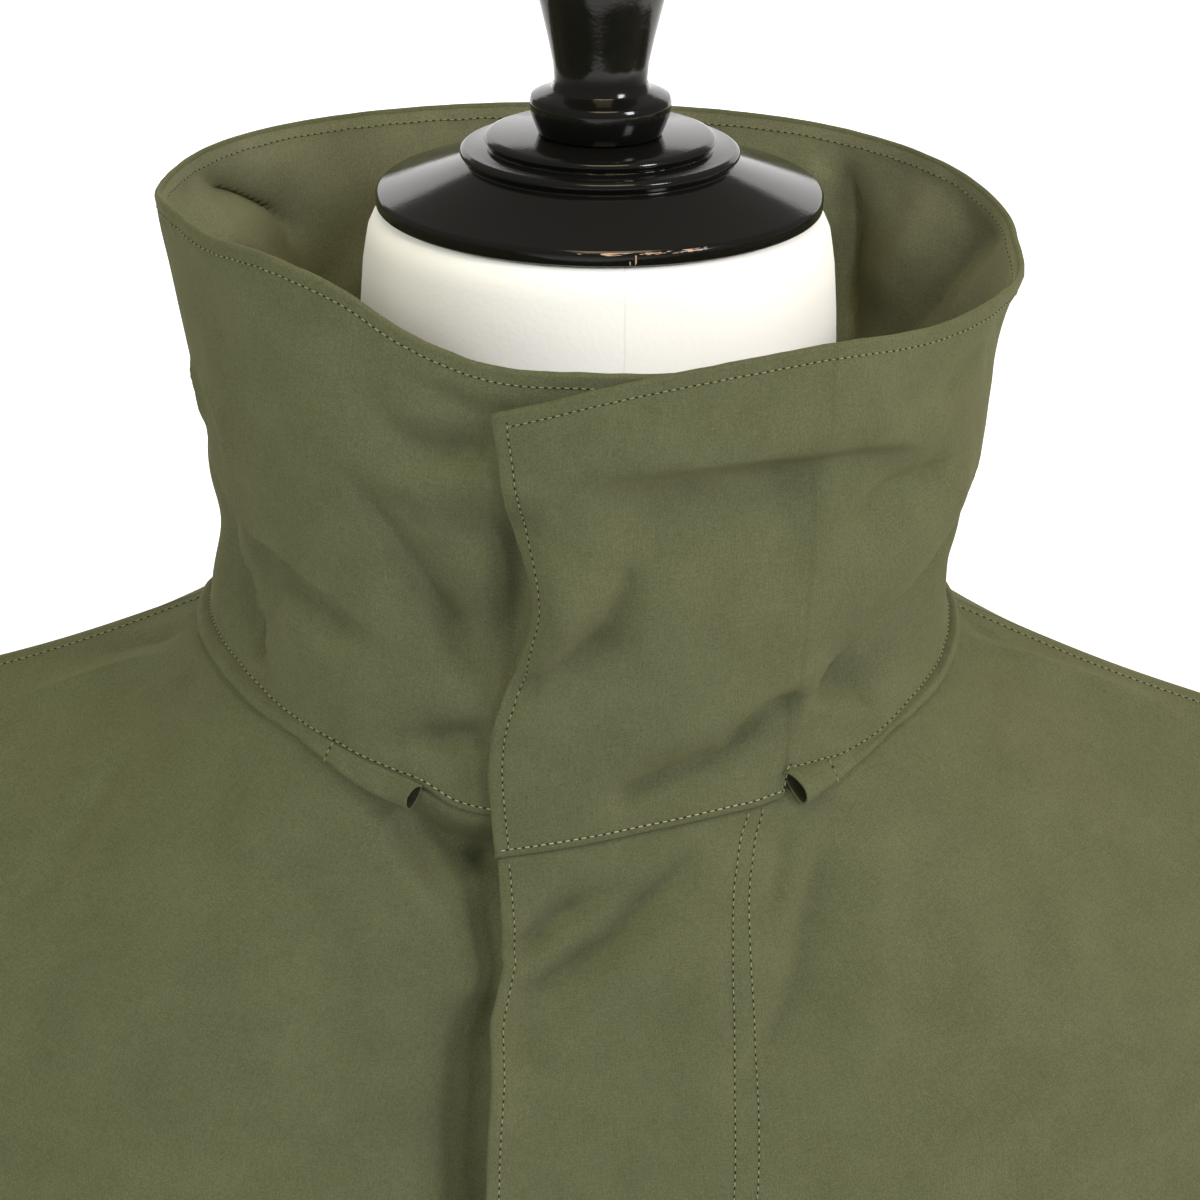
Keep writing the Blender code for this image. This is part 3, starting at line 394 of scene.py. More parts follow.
@dataclass
class ClothGrid:
    """Outer face of a cloth piece as a grid of points.

    Attributes:
        name: The piece's name.
        across: Parameter of each column.
        along: Parameter of each row.
        points: Array (columns, rows, 3) of places in metres.
        facing: +1 if across x along points out of the cloth, else -1.
        closed: Whether the last column joins the first.
        thickness: Depth of the shell, inward.
    """

    name: str
    across: np.ndarray
    along: np.ndarray
    points: np.ndarray
    facing: float
    closed: bool = False
    thickness: float = 0.0021

    def normals(self) -> np.ndarray:
        """Unit normals out of the cloth."""
        if self.closed:
            padded = np.concatenate([self.points[-1:], self.points, self.points[:1]])
            du = np.gradient(padded, axis=0)[1:-1]
        else:
            du = np.gradient(self.points, axis=0)
        return unit(np.cross(du, np.gradient(self.points, axis=1))) * self.facing

    def _cells(self, u: np.ndarray, v: np.ndarray) -> tuple[np.ndarray, ...]:
        """Whole and fractional indices of places given by the two parameters."""
        columns = len(self.across)
        if self.closed:
            span = np.append(self.across, self.across[0] + 360.0)
            fu = np.interp(np.mod(u, 360.0), span, np.arange(columns + 1))
        else:
            fu = np.interp(u, self.across, np.arange(columns))
        fv = np.interp(v, self.along, np.arange(len(self.along)))
        top = columns if self.closed else columns - 1
        iu = np.minimum(fu.astype(int), top - 1)
        iv = np.minimum(fv.astype(int), len(self.along) - 2)
        return iu, iv, (fu - iu)[:, None], (fv - iv)[:, None]

    def _read(self, values: np.ndarray, u: np.ndarray, v: np.ndarray) -> np.ndarray:
        """Read a grid of vectors between its points."""
        iu, iv, wu, wv = self._cells(np.asarray(u, float), np.asarray(v, float))
        ju = (iu + 1) % len(self.across)
        low = values[iu, iv] * (1 - wu) + values[ju, iv] * wu
        high = values[iu, iv + 1] * (1 - wu) + values[ju, iv + 1] * wu
        return low * (1 - wv) + high * wv

    def at(self, u: np.ndarray, v: np.ndarray, lift: float = 0.0) -> np.ndarray:
        """Places on the cloth, lifted out of it.

        Args:
            u: Parameter across.
            v: Parameter along.
            lift: Metres out of the cloth.

        Returns:
            One point for each pair.
        """
        place = self._read(self.points, u, v)
        if lift:
            place = place + lift * unit(self._read(self.normals(), u, v))
        return place

    def line(self, points: Sequence[Pair], steps: int = 12) -> np.ndarray:
        """Fine smooth parameter line through a few given points."""
        knots = np.arange(len(points), dtype=float)
        at = np.linspace(0, len(points) - 1, (len(points) - 1) * steps + 1)
        return smooth(knots, np.array(points, float), at)

    def press(self, creases: Iterable[Crease], fade: np.ndarray) -> None:
        """Press creases into the grid.

        Args:
            creases: The creases.
            fade: Share of the depth at each grid point.
        """
        normal = self.normals()
        flat = self.points.reshape(-1, 3)
        flat_normal = normal.reshape(-1, 3)
        total = np.zeros(len(flat))
        for crease in creases:
            path = self.line(crease.points)
            spots = self.at(path[:, 0], path[:, 1])
            start, run = spots[:-1], np.diff(spots, axis=0)
            reach = (6 if crease.folded else 7 if crease.crisp < 1.6 else 4) * crease.half_width
            near = np.linalg.norm(flat - spots.mean(0), axis=1) < (
                np.linalg.norm(spots - spots.mean(0), axis=1).max() + reach
            )
            own = flat[near]
            rel = own[:, None] - start[None]
            share = np.clip((rel * run).sum(2) / np.maximum((run * run).sum(1), 1e-12), 0, 1)
            off = rel - share[..., None] * run
            gap = (off * off).sum(2)
            best = gap.argmin(1)
            rows = np.arange(len(own))
            off, way = off[rows, best], unit(run[best])
            side = (np.cross(flat_normal[near], way) * off).sum(1)
            place = (best + share[rows, best]) / len(start)
            taper = ramp(place, 0.0, 0.3) * (1 - ramp(place, 0.7, 1.0))
            taper = crease.ends + (1 - crease.ends) * taper
            gap = np.sqrt(gap[rows, best])
            side = np.clip(side / np.maximum(gap, 1e-9), -1, 1)
            gap = gap / (crease.half_width * (1 + crease.lean * side))
            if crease.folded:
                shape = np.where(gap < 1, 1 - (1 - gap) ** 2, np.exp(-(((gap - 1) / 1.9) ** 2)))
                shape = shape * np.clip(-side, 0, 1)
            else:
                shape = np.exp(-(gap**crease.crisp))
            total[near] += crease.height * taper * shape
        total = total.reshape(self.points.shape[:2]) * fade
        self.points = self.points + total[..., None] * normal

    def border_distance(self, column: Optional[int] = None, row: Optional[int] = None) -> np.ndarray:
        """Distance along the cloth from one border, at each grid point."""
        axis, border = (1, row) if column is None else (0, column)
        step = np.linalg.norm(np.diff(self.points, axis=axis), axis=2)
        start = np.zeros_like(step.take([0], axis))
        run = np.concatenate([start, np.cumsum(step, axis=axis)], axis=axis)
        return run if border == 0 else run.take([-1], axis) - run

    def uneven(self, fade: np.ndarray, amount: float = 1.0) -> None:
        """Add the soft unevenness that all worn cloth has."""
        height = 0.00042 * unevenness(self.points, 0.06, 11)
        height += 0.00016 * unevenness(self.points, 0.021, 12)
        self.points = self.points + (amount * height * fade)[..., None] * self.normals()

    def pucker(self, distance: np.ndarray, seed: int, height: float = 0.00016) -> None:
        """Draw the cloth up in small waves beside a stitched border."""
        wave = unevenness(self.points, 0.0075, seed, 10)
        depth = height * wave * np.exp(-((distance - 0.004) / 0.0045) ** 2)
        self.points = self.points + depth[..., None] * self.normals()

    def groove(self, distance: np.ndarray, at: float, depth: float = 0.00022) -> None:
        """Sink a line at a set distance from a border, where stitches pull the cloth down."""
        sink = depth * np.exp(-((distance - at) / 0.0011) ** 2)
        self.points = self.points - sink[..., None] * self.normals()


@dataclass
class ShellBuilder:
    """Turns cloth grids into closed thin shells with rounded edges.

    Attributes:
        outside: The cloth's outer side.
        inside: Its inner side, a paler copy of the cloth: painted light on the inner faces.
    """

    outside: Material
    inside: Material

    RIM_BANDS = 4

    def build(self, grid: ClothGrid, inside: Optional[Material] = None) -> bpy.types.Object:
        """Make the shell of a cloth grid.

        Args:
            grid: The outer face.
            inside: Cloth for the inner side in place of the shared one; the channel passes its
                near-black painted shade here.

        Returns:
            The new object.
        """
        outer, inner, rims = self._skins(grid)
        columns, rows = grid.points.shape[:2]
        count = columns * rows
        verts = [outer.reshape(-1, 3), inner.reshape(-1, 3)]
        last = columns if grid.closed else columns - 1
        i, j = np.meshgrid(np.arange(last), np.arange(rows - 1), indexing="ij")
        k = (i + 1) % columns
        corners = [i * rows + j, k * rows + j, k * rows + j + 1, i * rows + j + 1]
        front = np.stack(corners, axis=-1).reshape(-1, 4)
        if grid.facing < 0:
            front = front[:, ::-1]
        faces = [front, front[:, ::-1] + count]
        base = 2 * count
        for loop, bands in rims:
            ring = np.arange(len(loop))
            chain = [loop, *(base + band * len(loop) + ring for band in range(len(bands))),
                     loop + count]
            verts.extend(bands)
            base += len(loop) * len(bands)
            for upper, lower in zip(chain[:-1], chain[1:]):
                quad = [upper, np.roll(upper, -1), np.roll(lower, -1), lower]
                faces.append(np.stack(quad, axis=-1))
        skins = (self.outside, inside or self.inside)
        return self._object(grid, np.concatenate(verts), np.concatenate(faces), skins)

    @staticmethod
    def _loops(grid: ClothGrid) -> list[np.ndarray]:
        """Vertex indices round each free border."""
        columns, rows = grid.points.shape[:2]
        index = np.arange(columns * rows).reshape(columns, rows)
        if grid.closed:
            return [index[:, 0], index[::-1, -1]]
        return [np.concatenate([index[:-1, 0], index[-1, :-1], index[:0:-1, -1], index[0, :0:-1]])]

    def _skins(self, grid: ClothGrid) -> tuple[np.ndarray, np.ndarray, list]:
        """Outer and inner faces drawn back from the rim, and the rounded rim's bands."""
        normal = grid.normals()
        outer = grid.points.copy()
        inner = outer - grid.thickness * normal
        out = np.zeros_like(outer)
        out[:, 0] += unit(outer[:, 0] - outer[:, 1])
        out[:, -1] += unit(outer[:, -1] - outer[:, -2])
        if not grid.closed:
            out[0] += unit(outer[0] - outer[1])
            out[-1] += unit(outer[-1] - outer[-2])
        radius = grid.thickness / 2
        flat_outer, flat_inner = outer.reshape(-1, 3), inner.reshape(-1, 3)
        flat_normal, flat_out = normal.reshape(-1, 3), out.reshape(-1, 3)
        rims = []
        for loop in self._loops(grid):
            way = unit(flat_out[loop])
            flat_outer[loop] -= radius * way
            flat_inner[loop] -= radius * way
            middle = (flat_outer[loop] + flat_inner[loop]) / 2
            turns = [band * pi / (self.RIM_BANDS + 1) for band in range(1, self.RIM_BANDS + 1)]
            bands = [
                middle + radius * (cos(turn) * flat_normal[loop] + sin(turn) * way)
                for turn in turns
            ]
            rims.append((loop, bands))
        return outer, inner, rims

    def _object(
        self,
        grid: ClothGrid,
        verts: np.ndarray,
        faces: np.ndarray,
        skins: tuple[Material, Material],
    ) -> bpy.types.Object:
        """Make the mesh, its cloth coordinates in metres, and the object."""
        mesh = bpy.data.meshes.new(grid.name)
        mesh.from_pydata(verts.tolist(), [], faces.tolist())
        for skin in skins:
            mesh.materials.append(skin)
        one_side = (len(grid.across) - (not grid.closed)) * (len(grid.along) - 1)
        face_material = np.zeros(len(faces), dtype=np.int32)
        face_material[one_side : 2 * one_side] = 1
        mesh.polygons.foreach_set("material_index", face_material)
        across = grid.border_distance(column=0)
        across = np.repeat(across[:, across.shape[1] // 2][:, None], across.shape[1], axis=1)
        own = np.stack([across, grid.border_distance(row=0)], axis=-1).reshape(-1, 2)
        rims = [np.tile(own[loop], (self.RIM_BANDS, 1)) for loop in self._loops(grid)]
        coords = np.concatenate([own, own, *rims])
        layer = mesh.uv_layers.new(name="cloth")
        corner = np.empty(len(mesh.loops), dtype=np.int32)
        mesh.loops.foreach_get("vertex_index", corner)
        layer.data.foreach_set("uv", coords[corner].ravel())
        face_outward(mesh)
        return add_piece(grid.name, mesh)


# ------------------------------------------------------------------ the jacket's surfaces
class Side(Enum):
    """A side of the wearer, with its sign along X."""

    LEFT = 1
    RIGHT = -1

    def of(self, piece: str) -> str:
        """Name of this side's piece."""
        return f"{piece}_{self.name.lower()}"


class JacketForm:
    """The jacket's uncreased surfaces, worked out from the tables."""

    NECK_ROWS = 96
    ARMHOLE_ROWS = 52
    SIDE_ROWS = 60
    FRONT_COLUMNS = 100
    BACK_COLUMNS = 120
    SLEEVE_ROWS = 150
    COLLAR_ROWS = 88
    CHANNEL_ROWS = 480
    CHANNEL_COLUMNS = 32

    def __init__(self) -> None:
        """Work out the rows that all panels share."""
        top = TIP * np.linspace(0, 1, self.NECK_ROWS, endpoint=False)
        self.downs = np.concatenate([
            top,
            np.linspace(TIP, UNDERARM, self.ARMHOLE_ROWS, endpoint=False),
            np.linspace(UNDERARM, 1.0, self.SIDE_ROWS + 1),
        ])

    @staticmethod
    def neck_point(side: int, turn: np.ndarray) -> np.ndarray:
        """Points of the neck seam, by degrees from the centre front on one side."""
        x, y, half_width, half_depth = NECK_OVAL
        angle = np.radians(np.atleast_1d(np.asarray(turn, float)))
        table = np.array(NECK_SEAM)
        height = smooth(table[:, 0], table[:, 1 if side > 0 else 2], np.degrees(angle))[:, 0]
        return np.stack(
            [x + side * half_width * np.sin(angle), y - half_depth * np.cos(angle), height], axis=1
        )

    @staticmethod
    def layer_depth(turn: np.ndarray) -> np.ndarray:
        """How far the lower layer lies back at degrees from the centre on its own side."""
        return LAYER * (1.0 - ramp(turn, LAYER_FULL, LAYER_END))

    @staticmethod
    def _controls(rows: Table, downs: np.ndarray) -> np.ndarray:
        """Bezier control points of a panel's rows."""
        table = np.array(rows)
        centre = np.hstack([np.zeros((len(rows), 1)), table[:, 1:3]])
        free = smooth(table[:, 0], np.hstack([centre, table[:, 3:9]]), downs)
        edge = smooth_with_corners(table[:, 0], table[:, 9:12], downs, (TIP, UNDERARM))
        return np.hstack([free, edge]).reshape(len(free), 4, 3)

    def half_panel(
        self,
        rows: Table,
        side: int,
        turns: np.ndarray,
        downs: np.ndarray,
        past_centre: float | np.ndarray = 0.0,
        end_turn: float = 0.0,
        centre_turn: float = 0.0,
    ) -> np.ndarray:
        """Grid of one half of a front or back.

        Args:
            rows: The panel's table.
            side: +1 for the wearer's left, -1 for the right.
            turns: Degrees round the neck on that side, one for each column.
            downs: Shares down the panel, one for each row.
            past_centre: Metres that the columns before the centre line reach past it, one
                for all rows or one for each.
            end_turn: Turn of the outermost of those columns.
            centre_turn: Turn of the panel's centre line, 0 in front and 180 behind.

        Returns:
            Array (columns, rows, 3).
        """
        turns = np.asarray(turns, float)
        controls = self._controls(rows, downs)
        share = np.abs(turns - centre_turn) / abs(SHOULDER_TURN - centre_turn)
        share = np.repeat(share[:, None], len(controls), axis=1)
        fine = np.linspace(0.0, 0.4, 81)
        beyond = turns < centre_turn if centre_turn == 0.0 else np.zeros(len(turns), bool)
        if beyond.any():
            wanted = np.broadcast_to(past_centre, len(controls))
            for row, control in enumerate(controls):
                reach = bezier(np.repeat(control[None], len(fine), axis=0), fine)[:, 0]
                edge = np.interp(wanted[row], reach, fine)
                share[beyond, row] = edge * turns[beyond] / end_turn
        grid = bezier(np.repeat(controls[None], len(turns), axis=0), share)
        grid[beyond, :, 0] *= -1.0
        tilt = smooth(np.array(SHOULDER_TILT)[:, 0], np.array(SHOULDER_TILT)[:, 1], downs)[:, 0]
        grid[:, :, 2] -= side * tilt[None, :] * share**2
        waves = FRONT_WAVES if rows is FRONT_ROWS else BACK_WAVES
        height = sum(tall * np.exp(-(((share - at) / wide) ** 2)) for at, wide, tall in waves)
        height = height * ramp(share, 0.0, 0.16) * (1.0 - ramp(share, 0.86, 1.0))
        facing = 1.0 if rows is BACK_ROWS else -1.0
        grid[:, :, 1] += facing * height * ramp(downs, WAVE_TOP, 1.0)[None, :]
        grid[:, :, 0] *= side
        seam = self.neck_point(side, turns)
        lead = np.clip(1.0 - np.asarray(downs) / TIP, 0.0, 1.0) ** 2
        if downs[0] == 0.0:
            grid += lead[None, :, None] * (seam - grid[:, 0])[:, None, :]
        return grid

    def front(self, side: Side) -> ClothGrid:
        """Outer face of a front."""
        if side is Side.LEFT:
            end, columns = OVER_TURN, 12
            reach = smooth(*np.array(FLY_EDGE).T, self.downs)[:, 0]
        else:
            end, columns, reach = UNDER_TURN, 16, UNDERLAP
        turns = np.concatenate([
            np.linspace(end, 0, columns, endpoint=False),
            np.linspace(0, SHOULDER_TURN, self.FRONT_COLUMNS + 1),
        ])
        grid = self.half_panel(FRONT_ROWS, side.value, turns, self.downs, reach, end)
        if side is Side.RIGHT:
            grid[:, :, 1] += self.layer_depth(turns)[:, None]
        name = "cloth_" + side.of("front")
        return ClothGrid(name, turns, self.downs, grid, -float(side.value))

    def back(self) -> ClothGrid:
        """Outer face of the back, from the left shoulder round to the right one."""
        turns = np.linspace(SHOULDER_TURN, 180.0, self.BACK_COLUMNS // 2 + 1)
        left = self.half_panel(BACK_ROWS, 1, turns, self.downs, centre_turn=180.0)
        right = self.half_panel(BACK_ROWS, -1, turns, self.downs, centre_turn=180.0)
        grid = np.concatenate([left, right[-2::-1]])
        across = np.concatenate([turns, 360.0 - turns[-2::-1]])
        return ClothGrid("cloth_back", across, self.downs, grid, -1.0)

    def sleeve(self, side: Side, front: ClothGrid, back: ClothGrid) -> ClothGrid:
        """Outer face of a sleeve, whose first ring is the armhole, front down and back up."""
        first, last = self.NECK_ROWS, self.NECK_ROWS + self.ARMHOLE_ROWS
        back_edge = back.points[0] if side is Side.LEFT else back.points[-1]
        armhole = np.concatenate(
            [front.points[-1, first : last + 1], back_edge[last - 1 : first : -1]]
        )
        count = len(armhole)
        angle = 2 * pi * np.arange(count) / count
        rings = [armhole]
        for _, x, y, z, half_long, lean, half_deep in SLEEVE_RINGS:
            lean = radians(lean)
            rings.append(np.stack([
                side.value * (x + half_long * np.cos(angle) * cos(lean)),
                y - half_deep * np.sin(angle),
                z + half_long * np.cos(angle) * sin(lean),
            ], axis=1))
        table = np.array(rings)
        knots = [0.0, *(row[0] for row in SLEEVE_RINGS)]
        downs = np.linspace(0.0, 1.0, self.SLEEVE_ROWS) ** 0.9
        flat = smooth(knots, table.reshape(len(table), -1), downs)
        points = flat.reshape(len(downs), count, 3).transpose(1, 0, 2)
        name = "cloth_" + side.of("sleeve")
        return ClothGrid(name, np.degrees(angle), downs, points, float(side.value), closed=True)

    def collar(self) -> ClothGrid:
        """Outer face of the collar, from its upper front end round to its lower one."""
        turns = np.concatenate([
            np.arange(OVER_TURN, 110.0, 0.75),
            np.arange(110.0, 250.0, 1.25),
            np.arange(250.0, 360.0 - UNDER_TURN + 0.01, 0.75),
        ])
        rises = np.linspace(0.0, 1.0, self.COLLAR_ROWS)
        table = np.array(COLLAR_END)
        bend = smooth(table[:, 0], table[:, 1], rises)[:, 0]
        fade = 1.0 - ramp(turns, OVER_TURN, OVER_TURN + COLLAR_END_REACH)
        spread = (turns[:, None] + fade[:, None] * bend[None, :]).ravel()
        table = np.array(COLLAR)
        values = smooth(table[:, 0], table[:, 1:4], spread)
        angle = np.radians(spread)
        x, y, half_width, half_depth = RIM_OVAL
        top = np.stack(
            [x + half_width * np.sin(angle), y - half_depth * np.cos(angle), values[:, 0]], axis=1
        )
        left = self.neck_point(1, np.minimum(spread, 180.0))
        right = self.neck_point(-1, np.minimum(360.0 - spread, 180.0))
        base = np.where((spread > 180.0)[:, None], right, left)
        outward = unit(np.stack(
            [np.sin(angle) / half_width, -np.cos(angle) / half_depth, 0 * angle], axis=1
        ))
        third = (top - base) / 3
        control = np.stack([
            base,
            base + third + values[:, 1:2] * outward,
            base + 2 * third + values[:, 2:3] * outward,
            top,
        ], axis=1)
        points = bezier(control, np.tile(rises, len(turns)))
        points[:, 1] += self.layer_depth(360.0 - spread)
        return ClothGrid(
            "cloth_collar", turns, rises, points.reshape(len(turns), len(rises), 3), 1.0
        )

    def channel(self) -> ClothGrid:
        """Outer face of the flat tube that lies on the panels under the collar."""
        table = np.array(CHANNEL)
        turns = np.linspace(table[0, 0], table[-1, 0], self.CHANNEL_ROWS)
        sizes = smooth(table[:, 0], table[:, 1:3], turns) / 2
        frames = np.array([self.neck_frame(turn) for turn in turns])
        lift = np.interp(turns, *np.array(EDGE_LIFT).T)[:, None]
        frames[:, 0] -= lift * frames[:, 1]
        sizes[:, :1] += lift / 2
        angle = 2 * pi * np.arange(self.CHANNEL_COLUMNS) / self.CHANNEL_COLUMNS
        points = np.empty((len(angle), len(turns), 3))
        for column, way in enumerate(angle):
            slant = CHANNEL_SLANT * max(0.0, sin(way))
            near = slant * (1 - ramp(turns - turns[0], 0.0, CHANNEL_SLANT_REACH))
            far = slant * (1 - ramp(turns[-1] - turns, 0.0, CHANNEL_SLANT_REACH))
            own = np.interp(turns + near - far, turns, np.arange(len(turns)))
            low = np.minimum(own.astype(int), len(turns) - 2)
            part = (own - low)[:, None]
            seam, down, out = (
                frames[low, k] * (1 - part) + frames[low + 1, k] * part for k in range(3)
            )
            half_width, half_thick = sizes[:, :1], sizes[:, 1:]
            centre = seam + (half_width - CHANNEL_TUCK) * down + (half_thick + CHANNEL_GAP) * out
            rise = sin(way) * (1 - 0.5 * max(0.0, -cos(way)) * (sin(way) > 0))
            points[column] = centre + half_width * cos(way) * down + half_thick * rise * out
        return ClothGrid(
            "cloth_neck_channel", np.degrees(angle), turns, points, -1.0, closed=True,
            thickness=0.0006,
        )

    def neck_frame(self, turn: float) -> tuple[np.ndarray, np.ndarray, np.ndarray]:
        """Seam point, and directions down the panel and out from it, at one station."""
        side, own = (1, turn) if turn <= 180.0 else (-1, 360.0 - turn)
        behind = own > SHOULDER_TURN
        near = self.half_panel(
            BACK_ROWS if behind else FRONT_ROWS,
            side,
            [own - 0.5, own, own + 0.5],
            np.array([0.0, 0.03]),
            centre_turn=180.0 if behind else 0.0,
        )
        if side < 0 and not behind:
            near[:, :, 1] += self.layer_depth(own)
        along = unit(near[2, 0] - near[0, 0])
        out = unit(np.cross(along, near[1, 1] - near[1, 0])) * -side
        down = np.cross(out, along)
        return near[1, 0], -down * np.sign(down[2]), out


